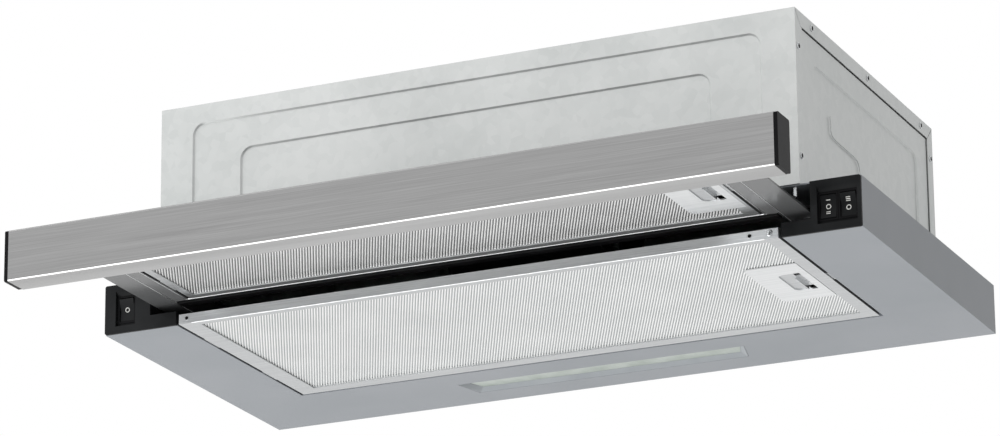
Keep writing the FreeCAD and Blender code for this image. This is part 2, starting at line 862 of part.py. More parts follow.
def latch_plate(one):
    """Smooth plate in the filter's right end with the window for the finger tab."""
    outer = latch_plate_outer(one)
    inner = outer - latch_plate_width
    middle = one.front + one.depth / 2
    half = latch_plate_length / 2
    high = one.low + latch_plate_sheet
    plate = slab_xy([(inner, middle - half, latch_plate_corner), (outer, middle - half, 0),
                     (outer, middle + half, 0), (inner, middle + half, latch_plate_corner)],
                    one.low, high)
    end = one.width / 2 - one.latch_inset
    start = end - latch_window_width
    half = latch_window_length / 2
    window = slab_xy([(start, middle - half, latch_window_corner), (end, middle - half, 0),
                      (end, middle + half, 0), (start, middle + half, latch_window_corner)],
                     one.low - 1, high + 1)
    return plate.cut(window)


def latch_slide(one):
    """Sliding bolt: a plate over the window, a nose through the frame and a folded finger tab."""
    end = one.width / 2 - one.latch_inset
    middle = one.front + one.depth / 2
    level = latch_level(one)
    high = level + latch_slide_sheet
    inner = end - latch_window_width - latch_slide_lap
    outer = end - latch_slide_lap
    half = latch_slide_width / 2
    nose = latch_nose_width / 2
    nose_x = one.width / 2 + latch_nose_reach
    plate = box(inner, outer, middle - half, middle + half, level, high)
    stem = slab_xy([(outer - latch_slide_lap, middle - nose, 0), (nose_x, middle - nose, latch_nose_corner),
                    (nose_x, middle + nose, latch_nose_corner), (outer - latch_slide_lap, middle + nose, 0)],
                   level, high)
    tab_x = end - latch_tab_offset
    tab_half = latch_tab_length / 2
    tab = box(tab_x - latch_slide_sheet, tab_x, middle - tab_half, middle + tab_half,
              one.low - latch_tab_drop, high)
    return plate.fuse([stem, tab])


def latch_spring(one):
    """Folded leaf spring that pushes the bolt outwards."""
    end = one.width / 2 - one.latch_inset
    start = end - latch_window_width - latch_slide_lap - seat_gap - spring_length
    middle = one.front + one.depth / 2
    level = latch_level(one)
    step = spring_length / spring_folds
    shift = spring_sheet * math.hypot(step, spring_width) / step
    near = []
    for fold in range(spring_folds + 1):
        side = 1 if fold % 2 else -1
        near.append(Vector(start + fold * step, middle + (side * spring_width - shift) / 2, level))
    far = [point + axis_y * shift for point in reversed(near)]
    return Part.Face(Part.makePolygon(near + far + [near[0]])).extrude(axis_z * spring_height)


# Lamp.

def lamp_housing():
    """Moulded lamp tray: a bevelled mouth in the base's slot, a flange over it and a hood."""
    flange_low = base_sheet + seat_gap
    back = lamp_front + lamp_width
    mouth = slab_xy(lamp_outline(side_gap), 0, flange_low + lamp_wall)
    flange_x = lamp_half_length + lamp_flange
    flange = box(-flange_x, flange_x, lamp_front - lamp_flange, back + lamp_flange, flange_low,
                 flange_low + lamp_wall)
    x = lamp_half_length - lamp_bevel
    hood = box(-x, x, lamp_front + lamp_hood_inset, back - lamp_hood_inset, flange_low, lamp_height)
    tray = mouth.fuse([flange, hood])
    wires = []
    for z, inset in ((0, lamp_mouth_wall), (lamp_bevel_depth, lamp_bevel)):
        wires.append(outline([(Vector(px, py, z), 0) for px, py, radius in lamp_outline(inset)]))
    bevel = Part.makeLoft(wires, True, True)
    seat = slab_xy(lens_outline(0), lamp_bevel_depth, lamp_bevel_depth + lens_sheet + seat_gap)
    inner_x = x - lamp_slant - lamp_wall
    hollow = box(-inner_x, inner_x, lamp_front + lamp_bevel, back - lamp_bevel,
                 lamp_bevel_depth + lens_sheet, lamp_height - lamp_wall)
    return tray.cut([bevel, seat, hollow])


def lens_outline(gap):
    """The lens, a little larger than the mouth it shows through."""
    inset = lamp_bevel - lens_seat + gap
    return [(x, y, 0) for x, y, radius in lamp_outline(inset)]


def lamp_lens():
    """Diffusing lens that lies on the bevel's inner edge."""
    return slab_xy(lens_outline(seat_gap), lamp_bevel_depth, lamp_bevel_depth + lens_sheet)


def led_board():
    """Circuit board with a row of LEDs that look down through the lens."""
    x = lamp_half_length - lamp_bevel - lamp_slant - lamp_wall - 1
    middle = lamp_front + lamp_width / 2
    high = lamp_height - lamp_wall - seat_gap
    low = high - led_board_sheet
    board = box(-x, x, middle - led_board_width / 2, middle + led_board_width / 2, low, high)
    step = 2 * x / led_count
    half = led_size / 2
    chips = []
    for index in range(led_count):
        place = -x + (index + 0.5) * step
        chips.append(box(place - half, place + half, middle - half, middle + half, low - led_height, low))
    return board.fuse(chips)


def led_driver():
    """Small supply for the LEDs on the bottom plate beside the lamp, with an ear at each end."""
    x = lamp_half_length + driver_gap
    end = x + driver_length
    middle = lamp_front + lamp_width / 2
    low = base_sheet + seat_gap
    half = driver_width / 2
    body = box(x, end, middle - half, middle + half, low, low + driver_height)
    half = driver_ear_width / 2
    ears = box(x - driver_ear, end + driver_ear, middle - half, middle + half, low, low + driver_ear_sheet)
    return body.fuse(ears)


# Blower.

def scroll_point(degrees, inset, x):
    """A point on the scroll's spiral, measured from the tongue."""
    angle = math.radians(scroll_tongue_angle + degrees)
    radius = scroll_first_radius + scroll_rise * degrees / 360 - inset
    return Vector(x, blower_y + radius * math.cos(angle), blower_z + radius * math.sin(angle))


def scroll_face(inset, x, top):
    """The scroll's section: a spiral of arcs from the tongue, then the widening outlet duct."""
    sweep = 360 - scroll_tongue_angle
    count = 2 * scroll_arc_count
    points = [scroll_point(sweep * index / count, inset, x) for index in range(count + 1)]
    edges = [Part.Arc(*points[index:index + 3]).toShape() for index in range(0, count, 2)]
    corners = [points[-1], Vector(x, outlet_back - inset, top), Vector(x, outlet_front + inset, top),
               Vector(x, outlet_front + inset, points[0].z + scroll_wall / 2), points[0]]
    for one, other in zip(corners, corners[1:]):
        edges.append(Part.LineSegment(one, other).toShape())
    return Part.Face(Part.Wire(edges))


def scroll_half():
    """Right half of the scroll with its inlet mouth and the flange under the body's lid."""
    top = under_top
    outer = scroll_face(0, 0, top).extrude(axis_x * scroll_half_width)
    inner = scroll_face(scroll_wall, -1, top + 2).extrude(axis_x * (scroll_half_width - scroll_wall + 1))
    flange = box(0, scroll_half_width + scroll_flange, outlet_front - scroll_flange,
                 outlet_back + scroll_flange, top - scroll_wall, top)
    inlet = rod(inlet_radius, Vector(scroll_half_width - 2 * scroll_wall, blower_y, blower_z), axis_x,
                3 * scroll_wall)
    return outer.fuse(flange).cut([inner, inlet])


def blade():
    """One forward curved blade, bent once, seen along the shaft and pushed along it."""
    x = -wheel_half_width + wheel_ring / 2

    def point(radius, degrees):
        angle = math.radians(degrees)
        return Vector(x, blower_y + radius * math.cos(angle), blower_z + radius * math.sin(angle))

    inner = wheel_inner_radius
    outer = wheel_radius - blade_overlap
    middle = (inner + outer) / 2
    bow = blade_lean / 2 - blade_bow
    turn = blade_sheet_angle
    front = [point(inner, 0), point(middle, bow), point(outer, blade_lean)]
    back = [point(outer, blade_lean + turn), point(middle, bow + turn), point(inner, turn)]
    face = Part.Face(Part.makePolygon(front + back + [front[0]]))
    return face.extrude(axis_x * (2 * wheel_half_width - wheel_ring))


def impeller():
    """Squirrel cage wheel: blades between two end rings and a middle disc with its hub."""
    middle = Vector(0, blower_y, blower_z)
    blades = []
    for index in range(blade_count):
        one = blade()
        one.rotate(middle, axis_x, 360.0 * index / blade_count)
        blades.append(one)
    rings = []
    for start in (-wheel_half_width, wheel_half_width - wheel_ring):
        rings.append(ring(wheel_radius, wheel_inner_radius - wheel_ring_lap, middle + axis_x * start,
                          axis_x, wheel_ring))
    disc = rod(wheel_radius, middle - axis_x * wheel_disc / 2, axis_x, wheel_disc)
    hub = rod(hub_radius, middle - axis_x * hub_length * hub_share, axis_x, hub_length)
    bore = rod(shaft_radius + shaft_fit, middle - axis_x * hub_length, axis_x, 2 * hub_length)
    return disc.fuse(blades + rings + [hub]).cut(bore)


def rotor_shaft():
    """Motor shaft, from the wheel's hub to the far end of the motor."""
    start = Vector(-hub_length * hub_share - 1, blower_y, blower_z)
    return rod(shaft_radius, start, axis_x, motor_start + motor_length - shaft_end_gap - start.x)


def motor():
    """Closed motor with a bell at its front end and a bore for the shaft."""
    middle = Vector(0, blower_y, blower_z)
    start = middle + axis_x * motor_start
    body = rod(motor_radius, start, axis_x, motor_length)
    bell = rod(motor_bell_radius, start - axis_x * motor_bell_front, axis_x, 2 * motor_bell_front)
    bore = rod(shaft_radius + pin_gap, start - axis_x * 2, axis_x, motor_length - 1)
    return body.fuse(bell).cut(bore)


def motor_bracket():
    """Ring round the motor with three arms that reach over the scroll's side."""
    middle = Vector(0, blower_y, blower_z)
    face = scroll_half_width + seat_gap
    back = face + bracket_arm_sheet
    inner = motor_radius + side_gap
    hoop = ring(inner + bracket_ring, inner, middle + axis_x * face, axis_x, bracket_arm_sheet)
    half = bracket_arm_width / 2
    arms = []
    for index in range(bracket_arm_count):
        arm = box(face, back, blower_y + inner + bracket_ring / 2, blower_y + bracket_arm_reach,
                  blower_z - half, blower_z + half)
        arm.rotate(middle, axis_x, 30 + 360.0 * index / bracket_arm_count)
        arms.append(arm)
    return hoop.fuse(arms)


# Outlet.

def outlet_collar():
    """Round spigot for the duct on a square flange, with a blind hole for each end of the pin."""
    middle = Vector(0, outlet_y, 0)
    inner = collar_radius - collar_wall
    tube = ring(collar_radius, inner, middle + axis_z * body_top, axis_z, collar_height)
    half = collar_radius + collar_flange
    flange = slab_xy(rectangle(-half, half, outlet_y - half, outlet_y + half, collar_flange_corner),
                     body_top, body_top + collar_flange_sheet)
    flange = flange.cut(rod(inner, middle + axis_z * (body_top - 1), axis_z, collar_flange_sheet + 2))
    pin_hole = rod(damper_pin_radius, Vector(-inner - 1, outlet_y, damper_axis_z), axis_x, 2 * inner + 2)
    return tube.fuse(flange).cut(pin_hole)


def damper_pin():
    """Pin across the collar that both flaps hang on."""
    half = collar_radius - collar_wall + 1 - seat_gap
    return rod(damper_pin_radius, Vector(-half, outlet_y, damper_axis_z), axis_x, 2 * half)


def damper_flap():
    """Front half of the damper: half a disc that rests on the lid's rim, and a knuckle on the pin."""
    radius = collar_radius - collar_wall - flap_gap
    low = body_top + damper_rest_gap
    high = low + flap_sheet
    edge_y = outlet_y - knuckle_radius - knuckle_gap
    disc = rod(radius, Vector(0, outlet_y, low), axis_z, flap_sheet)
    disc = disc.cut(box(-radius - 1, radius + 1, edge_y, outlet_y + radius + 1, low - 1, high + 1))
    start = -knuckle_gap - knuckle_width
    axis_start = Vector(start, outlet_y, damper_axis_z)
    knuckle = rod(knuckle_radius, axis_start, axis_x, knuckle_width)
    web = box(start, start + knuckle_width, edge_y - 1, outlet_y, low, high)
    bore = rod(damper_pin_radius + pin_gap, axis_start - axis_x, axis_x, knuckle_width + 2)
    return disc.fuse([knuckle, web]).cut(bore)


def rear_damper_flap():
    """The other half, turned round the collar's axis."""
    flap = damper_flap()
    flap.rotate(Vector(0, outlet_y, 0), axis_z, 180)
    return flap


# Electrical pieces.

def capacitor():
    """Motor capacitor hung from the lid by its stud nut."""
    top = under_top - seat_gap
    can = rod(capacitor_radius, Vector(capacitor_x, capacitor_y, top - capacitor_length), axis_z,
              capacitor_length - nut_height)
    return can.fuse(hexagon(nut_radius, Vector(capacitor_x, capacitor_y, top - nut_height), nut_height))


def hexagon(radius, start, height):
    """An upright hexagonal nut."""
    corners = []
    for index in range(6):
        angle = math.radians(60 * index)
        corners.append(start + Vector(radius * math.cos(angle), radius * math.sin(angle), 0))
    return Part.Face(Part.makePolygon(corners + [corners[0]])).extrude(axis_z * height)


def terminal_box():
    """Closed terminal box under the lid, below the cable gland."""
    half_x = terminal_box_width / 2
    half_y = terminal_box_depth / 2
    top = under_top - seat_gap
    body = box(terminal_box_x - half_x, terminal_box_x + half_x, terminal_box_y - half_y,
               terminal_box_y + half_y, top - terminal_box_height, top)
    entry = rod(gland_neck + seat_gap, Vector(terminal_box_x, terminal_box_y, top - gland_entry), axis_z,
                gland_entry + 1)
    return body.cut(entry)


def cable_gland():
    """Gland in the lid for the supply lead, with a hexagonal head."""
    place = Vector(terminal_box_x, terminal_box_y, 0)
    low = under_top - gland_drop
    high = body_top + gland_height
    neck = rod(gland_neck, place + axis_z * low, axis_z, body_top - low)
    head = hexagon(gland_nut, place + axis_z * body_top, gland_height)
    bore = rod(gland_bore, place + axis_z * (low - 1), axis_z, high - low + 2)
    return neck.fuse(head).cut(bore)


def save(name, shape):
    """Joins split faces, shifts a piece to the row's origin and writes it as one STEP file."""
    shape = shape.removeSplitter()
    shape.translate(Vector(0, -base_depth / 2, -base_height))
    shape.exportStep("parts/" + name + ".step")


def save_filter(name, one):
    """Writes the pieces of one grease filter."""
    save(name + "_frame", filter_frame(one))
    save(name + "_mesh", filter_mesh(one))
    save(name + "_padding", filter_padding(one))
    save(name + "_latch_plate", latch_plate(one))
    save(name + "_latch", latch_slide(one))
    save(name + "_latch_spring", latch_spring(one))


def save_pair(name, shape):
    """Writes a right-hand piece and its mirrored left-hand twin."""
    save(name + "_right", shape)
    save(name + "_left", mirrored(shape))


def build():
    """Makes every piece of the hood."""
    os.makedirs("parts", exist_ok=True)
    save("base_frame", base_frame())
    save("base_ring", base_ring())
    save("body_front_panel", body_front_panel())
    save("body_back_panel", body_back_panel())
    save("body_top_panel", body_top_panel())
    save_pair("body_side", body_side())
    save("switch_block_right", switch_block(speed_pocket_outer, speed_pocket_width, (speed_x, boost_x)))
    save("switch_block_left", mirrored(switch_block(lamp_pocket_outer, lamp_pocket_width, (lamp_x,))))
    save("speed_switch", switch_body(speed_x))
    save("boost_switch", switch_body(boost_x))
    save("lamp_switch", switch_body(-lamp_x))
    save("speed_rocker", rocker(speed_x, 0))
    save("boost_rocker", rocker(boost_x, rocker_tilt))
    save("lamp_rocker", rocker(-lamp_x, rocker_tilt))
    save("fascia_panel", fascia_panel())
    save_pair("fascia_cap", fascia_cap())
    save("fascia_back_plate", fascia_back_plate())
    save("drawer_pan", drawer_pan())
    save_pair("drawer_arm", drawer_arm())
    save_pair("slide_shoe", slide_shoe())
    save("drawer_rear_bar", rear_bar())
    save_pair("slide_rail", slide_rail())
    save_pair("rail_bracket", rail_bracket())
    save_filter("base_filter", Filter(base_filter_width, 0, base_filter_depth, 0, base_latch_inset,
                                      base_filter_lips))
    save_filter("drawer_filter", Filter(drawer_filter_width, filter_front, drawer_filter_depth,
                                        drawer_under + drawer_filter_lift, drawer_latch_inset,
                                        drawer_filter_lips))
    save("lamp_housing", lamp_housing())
    save("lamp_lens", lamp_lens())
    save("led_board", led_board())
    save("led_driver", led_driver())
    save_pair("scroll", scroll_half())
    save("impeller", impeller())
    save("rotor_shaft", rotor_shaft())
    save("motor", motor())
    save("motor_bracket", motor_bracket())
    save("outlet_collar", outlet_collar())
    save("damper_pin", damper_pin())
    save("damper_flap_front", damper_flap())
    save("damper_flap_rear", rear_damper_flap())
    save("capacitor", capacitor())
    save("terminal_box", terminal_box())
    save("cable_gland", cable_gland())


build()
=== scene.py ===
import json
import math

import bmesh
import bpy
from mathutils import Matrix, Vector


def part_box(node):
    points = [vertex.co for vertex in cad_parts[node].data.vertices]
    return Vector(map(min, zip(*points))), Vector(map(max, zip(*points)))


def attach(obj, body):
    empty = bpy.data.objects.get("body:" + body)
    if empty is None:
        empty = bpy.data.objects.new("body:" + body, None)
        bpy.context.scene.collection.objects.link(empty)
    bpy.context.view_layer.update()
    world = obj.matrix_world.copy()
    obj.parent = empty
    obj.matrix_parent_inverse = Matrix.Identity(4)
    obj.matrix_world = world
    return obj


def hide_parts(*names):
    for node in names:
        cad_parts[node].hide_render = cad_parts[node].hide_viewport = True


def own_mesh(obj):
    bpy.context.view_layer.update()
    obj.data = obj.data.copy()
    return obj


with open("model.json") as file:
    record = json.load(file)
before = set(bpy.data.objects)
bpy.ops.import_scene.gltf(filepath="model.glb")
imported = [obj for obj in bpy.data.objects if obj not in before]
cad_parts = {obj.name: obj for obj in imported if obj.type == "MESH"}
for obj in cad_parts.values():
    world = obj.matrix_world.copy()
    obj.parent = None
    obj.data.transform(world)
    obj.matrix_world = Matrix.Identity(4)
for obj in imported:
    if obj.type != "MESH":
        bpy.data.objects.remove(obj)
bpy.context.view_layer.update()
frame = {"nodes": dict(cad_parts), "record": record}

mm = 0.001
nodes = frame["nodes"]
rowShift = Vector((0, -144, -38)) * mm  # from the base's lower front edge to the row's origin
print("frame loaded:", len(nodes), "nodes")


# camera at the photograph's place, read from the base's known 600 mm

camera = {
    "place": (1378.67, -3160.86, -1087.41),
    "turn": 24.187,  # degrees, looking left from a place on the right
    "rise": 18.315,  # looking up
    "roll": -0.520,
    "lens": 173.792,
    "sensor": 36,
    "clip": (0.05, 60),
}


def makeCamera(values):
    turn, rise, roll = (math.radians(values[key]) for key in ("turn", "rise", "roll"))
    ahead = Vector((-math.sin(turn) * math.cos(rise), math.cos(turn) * math.cos(rise), math.sin(rise)))
    right = Vector((math.cos(turn), math.sin(turn), 0))
    up = right.cross(ahead)
    rolledRight = right * math.cos(roll) + up * math.sin(roll)
    rolledUp = up * math.cos(roll) - right * math.sin(roll)
    data = bpy.data.cameras.new("photoCamera")
    data.lens, data.sensor_width = values["lens"], values["sensor"]
    data.clip_start, data.clip_end = values["clip"]
    eye = bpy.data.objects.new("photoCamera", data)
    axes = Matrix((rolledRight, rolledUp, -ahead)).transposed()
    eye.matrix_world = Matrix.Translation(Vector(values["place"]) * mm) @ axes.to_4x4()
    bpy.context.scene.collection.objects.link(eye)
    bpy.context.scene.camera = eye


makeCamera(camera)


# materials

def linear(colour):
    channels = [int(colour[i:i + 2], 16) / 255 for i in (1, 3, 5)]
    return [c / 12.92 if c <= 0.04045 else ((c + 0.055) / 1.055) ** 2.4 for c in channels] + [1.0]


def addNode(tree, kind, inputs=None, **settings):
    node = tree.nodes.new(kind)
    for key, value in settings.items():
        setattr(node, key, value)
    for key, value in (inputs or {}).items():
        if isinstance(value, bpy.types.NodeSocket):
            tree.links.new(value, node.inputs[key])
        else:
            node.inputs[key].default_value = value
    return node


def perMillimetre(size):
    return 1000 / size  # a texture's scale for a feature of that many millimetres


def startMaterial(name, colour, metallic, roughness, **sockets):
    material = bpy.data.materials.new(name)
    material.use_nodes = True
    tree = material.node_tree
    shader = tree.nodes["Principled BSDF"]
    shader.inputs["Base Color"].default_value = linear(colour)
    shader.inputs["Metallic"].default_value = metallic
    shader.inputs["Roughness"].default_value = roughness
    for key, value in sockets.items():
        shader.inputs[key.replace("_", " ")].default_value = value
    place = addNode(tree, "ShaderNodeTexCoord").outputs["Object"]
    return material, tree, shader, place


def tones(tree, factor, dark, light, low=0.0, high=1.0):
    ramp = addNode(tree, "ShaderNodeValToRGB", {"Fac": factor})
    ramp.color_ramp.elements[0].position, ramp.color_ramp.elements[1].position = low, high
    ramp.color_ramp.elements[0].color, ramp.color_ramp.elements[1].color = linear(dark), linear(light)
    return ramp.outputs["Color"]


def spread(tree, factor, low, high):
    return addNode(tree, "ShaderNodeMapRange", {"Value": factor, "To Min": low, "To Max": high}).outputs["Result"]


def relief(tree, shader, height, depth, strength=0.5):
    bump = addNode(tree, "ShaderNodeBump", {"Height": height, "Distance": depth * mm, "Strength": strength})
    tree.links.new(bump.outputs["Normal"], shader.inputs["Normal"])


def stretched(tree, place, x, y, z):
    return addNode(tree, "ShaderNodeMapping", {"Vector": place, "Scale": (x, y, z)}).outputs["Vector"]


def galvanisedSteel():
    # hot-dip galvanised sheet: small zinc crystals about 6 mm wide, dull, with cloudy handling marks
    material, tree, shader, place = startMaterial("galvanisedSteel", "#CBCFCD", 0.5, 0.42)
    crystals = addNode(tree, "ShaderNodeTexVoronoi", {"Vector": place, "Scale": perMillimetre(6), "Randomness": 1.0})
    clouds = addNode(tree, "ShaderNodeTexNoise", {"Vector": place, "Scale": perMillimetre(90), "Detail": 6.0})
    grey = addNode(tree, "ShaderNodeSeparateColor", {"Color": crystals.outputs["Color"]}).outputs["Red"]
    blend = addNode(tree, "ShaderNodeMix", {"Factor": 0.85, "A": grey, "B": clouds.outputs["Fac"]}).outputs["Result"]
    tree.links.new(tones(tree, blend, "#C6C9C8", "#D5D7D6", 0.3, 0.7), shader.inputs["Base Color"])
    tree.links.new(spread(tree, blend, 0.34, 0.52), shader.inputs["Roughness"])
    fine = addNode(tree, "ShaderNodeTexNoise", {"Vector": place, "Scale": perMillimetre(2.5), "Detail": 3.0})
    relief(tree, shader, fine.outputs["Fac"], 0.05, 0.15)
    return material


def stovedPaint(name, dark, light, roughness):
    # stoved grey paint on steel sheet: satin, with a fine orange peel about 1.5 mm across
    material, tree, shader, place = startMaterial(name, dark, 0.0, roughness)
    peel = addNode(tree, "ShaderNodeTexNoise", {"Vector": place, "Scale": perMillimetre(1.5), "Detail": 2.0})
    patches = addNode(tree, "ShaderNodeTexNoise", {"Vector": place, "Scale": perMillimetre(120), "Detail": 3.0})
    tree.links.new(tones(tree, patches.outputs["Fac"], dark, light, 0.35, 0.65), shader.inputs["Base Color"])
    relief(tree, shader, peel.outputs["Fac"], 0.04, 0.2)
    return material


def brushedStainless(name, dark, light):
    # stainless steel brushed lengthwise: lines finer than 0.2 mm, drawn at 0.6 mm so that they show
    material, tree, shader, place = startMaterial(name, dark, 1.0, 0.36, Anisotropic=0.4)
    along = stretched(tree, place, perMillimetre(90), perMillimetre(0.6), perMillimetre(0.6))
    lines = addNode(tree, "ShaderNodeTexNoise", {"Vector": along, "Scale": 1.0, "Detail": 4.0, "Roughness": 0.65})
    tree.links.new(tones(tree, lines.outputs["Fac"], dark, light, 0.3, 0.7), shader.inputs["Base Color"])
    tree.links.new(spread(tree, lines.outputs["Fac"], 0.28, 0.46), shader.inputs["Roughness"])
    relief(tree, shader, lines.outputs["Fac"], 0.02, 0.15)
    return material


def mouldedPlastic(name, dark, light, roughness, grain=0.9, gloss=0.5):
    # moulded ABS or nylon with a spark-eroded grain, drawn a little coarser than its 0.3 mm so that it shows
    material, tree, shader, place = startMaterial(name, dark, 0.0, roughness, Specular_IOR_Level=gloss)
    pits = addNode(tree, "ShaderNodeTexNoise", {"Vector": place, "Scale": perMillimetre(grain), "Detail": 2.0})
    flow = addNode(tree, "ShaderNodeTexNoise", {"Vector": place, "Scale": perMillimetre(25), "Detail": 2.0})
    tree.links.new(tones(tree, flow.outputs["Fac"], dark, light, 0.35, 0.7), shader.inputs["Base Color"])
    tree.links.new(spread(tree, pits.outputs["Fac"], roughness - 0.06, roughness + 0.08), shader.inputs["Roughness"])
    relief(tree, shader, pits.outputs["Fac"], 0.05, 0.25)
    return material


def rolledAluminium(name, dark, light):
    # mill finish aluminium sheet: roll lines along the sheet, about 0.5 mm apart
    material, tree, shader, place = startMaterial(name, dark, 0.8, 0.34)
    along = stretched(tree, place, perMillimetre(60), perMillimetre(0.8), perMillimetre(0.8))
    lines = addNode(tree, "ShaderNodeTexNoise", {"Vector": along, "Scale": 1.0, "Detail": 3.0})
    tree.links.new(tones(tree, lines.outputs["Fac"], dark, light, 0.3, 0.7), shader.inputs["Base Color"])
    tree.links.new(spread(tree, lines.outputs["Fac"], 0.28, 0.42), shader.inputs["Roughness"])
    relief(tree, shader, lines.outputs["Fac"], 0.02, 0.15)
    return material


lattice = {
    "pitch": 2.25,  # across, read from the photograph
    "row": 2.3,  # front to back; each row is shifted by half a pitch, so the ridges run at a slant
    "slant": 0.49,  # sideways run of a ridge for each millimetre front to back
}


def foilWithPaintedLight(name, dark, light, origin):
    # expanded aluminium foil: slanting strands, with a painted highlight on their crests and painted shade in the slits
    # between them
    material, tree, shader, place = startMaterial(name, light, 0.3, 0.4)
    axes = addNode(tree, "ShaderNodeSeparateXYZ", {"Vector": place})
    turns = 2 * math.pi / (lattice["pitch"] * mm)
    phase = math.pi / 2 - (origin.x + origin.y * lattice["slant"]) * turns
    aside = addNode(tree, "ShaderNodeMath", {0: axes.outputs["Y"], 1: lattice["slant"] * turns, 2: phase},
                    operation="MULTIPLY_ADD")
    across = addNode(tree, "ShaderNodeMath", {0: axes.outputs["X"], 1: turns, 2: aside.outputs[0]},
                     operation="MULTIPLY_ADD")
    along = addNode(tree, "ShaderNodeMath", {0: axes.outputs["Y"], 1: 2 * math.pi / (lattice["row"] * mm)},
                    operation="MULTIPLY")
    crests = addNode(tree, "ShaderNodeMath", {0: across.outputs[0]}, operation="SINE").outputs[0]
    knots = addNode(tree, "ShaderNodeMath", {0: along.outputs[0]}, operation="SINE").outputs[0]
    strands = addNode(tree, "ShaderNodeMath", {0: knots, 1: 0.25, 2: crests}, operation="MULTIPLY_ADD").outputs[0]
    smudges = addNode(tree, "ShaderNodeTexNoise", {"Vector": place, "Scale": perMillimetre(45), "Detail": 4.0})
    smudgesAndPaintedLight = addNode(tree, "ShaderNodeMath", {0: smudges.outputs["Fac"], 1: 0.8, 2: strands}, operation="MULTIPLY_ADD")
    # crests light and slits dark, in step with the ridges of the sheet: painted light, with random smudges laid over it
    tree.links.new(tones(tree, smudgesAndPaintedLight.outputs[0], dark, light, -0.2, 0.9), shader.inputs["Base Color"])
    relief(tree, shader, strands, 0.15, 0.3)
    return material


def knittedWire():
    # knitted aluminium wire: loops of flat wire about 4 mm wide
    material, tree, shader, place = startMaterial("knittedWire", "#9C9EA0", 0.8, 0.5)
    loops = addNode(tree, "ShaderNodeTexVoronoi", {"Vector": place, "Scale": perMillimetre(4)},
                    feature="DISTANCE_TO_EDGE")
    tree.links.new(tones(tree, loops.outputs["Distance"], "#C3C5C7", "#55585A", 0.05, 0.3), shader.inputs["Base Color"])
    relief(tree, shader, loops.outputs["Distance"], -0.4, 0.6)
    return material


def zincPlate(name, dark, light, roughness):
    # bright zinc plate and drawn spring or shaft steel: fine drawing marks 3 mm long
    material, tree, shader, place = startMaterial(name, dark, 0.9, roughness)
    marks = addNode(tree, "ShaderNodeTexNoise", {"Vector": place, "Scale": perMillimetre(3), "Detail": 4.0})
    tree.links.new(tones(tree, marks.outputs["Fac"], dark, light, 0.3, 0.7), shader.inputs["Base Color"])
    tree.links.new(spread(tree, marks.outputs["Fac"], roughness - 0.07, roughness + 0.1), shader.inputs["Roughness"])
    return material


def frostedPolycarbonate():
    # frosted lamp lens: pale grey green, with fine prisms 2 mm apart across its length
    material, tree, shader, place = startMaterial("frostedPolycarbonate", "#B4BDB6", 0.0, 0.35, IOR=1.58)
    across = perMillimetre(2) / (2 * math.pi)
    prisms = addNode(tree, "ShaderNodeTexWave", {"Vector": place, "Scale": across, "Distortion": 0.0})
    haze = addNode(tree, "ShaderNodeTexNoise", {"Vector": place, "Scale": perMillimetre(18), "Detail": 2.0})
    tree.links.new(tones(tree, haze.outputs["Fac"], "#AEB8B0", "#C2CAC4", 0.35, 0.65), shader.inputs["Base Color"])
    relief(tree, shader, prisms.outputs["Fac"], 0.15, 0.4)
    return material


def printedInk():
    # white pad-printed ink, a little worn
    material, tree, shader, place = startMaterial("printedInk", "#D8D8D4", 0.0, 0.55)
    wear = addNode(tree, "ShaderNodeTexNoise", {"Vector": place, "Scale": perMillimetre(0.8), "Detail": 3.0})
    tree.links.new(tones(tree, wear.outputs["Fac"], "#B9B9B5", "#E4E4E0", 0.35, 0.6), shader.inputs["Base Color"])
    return material


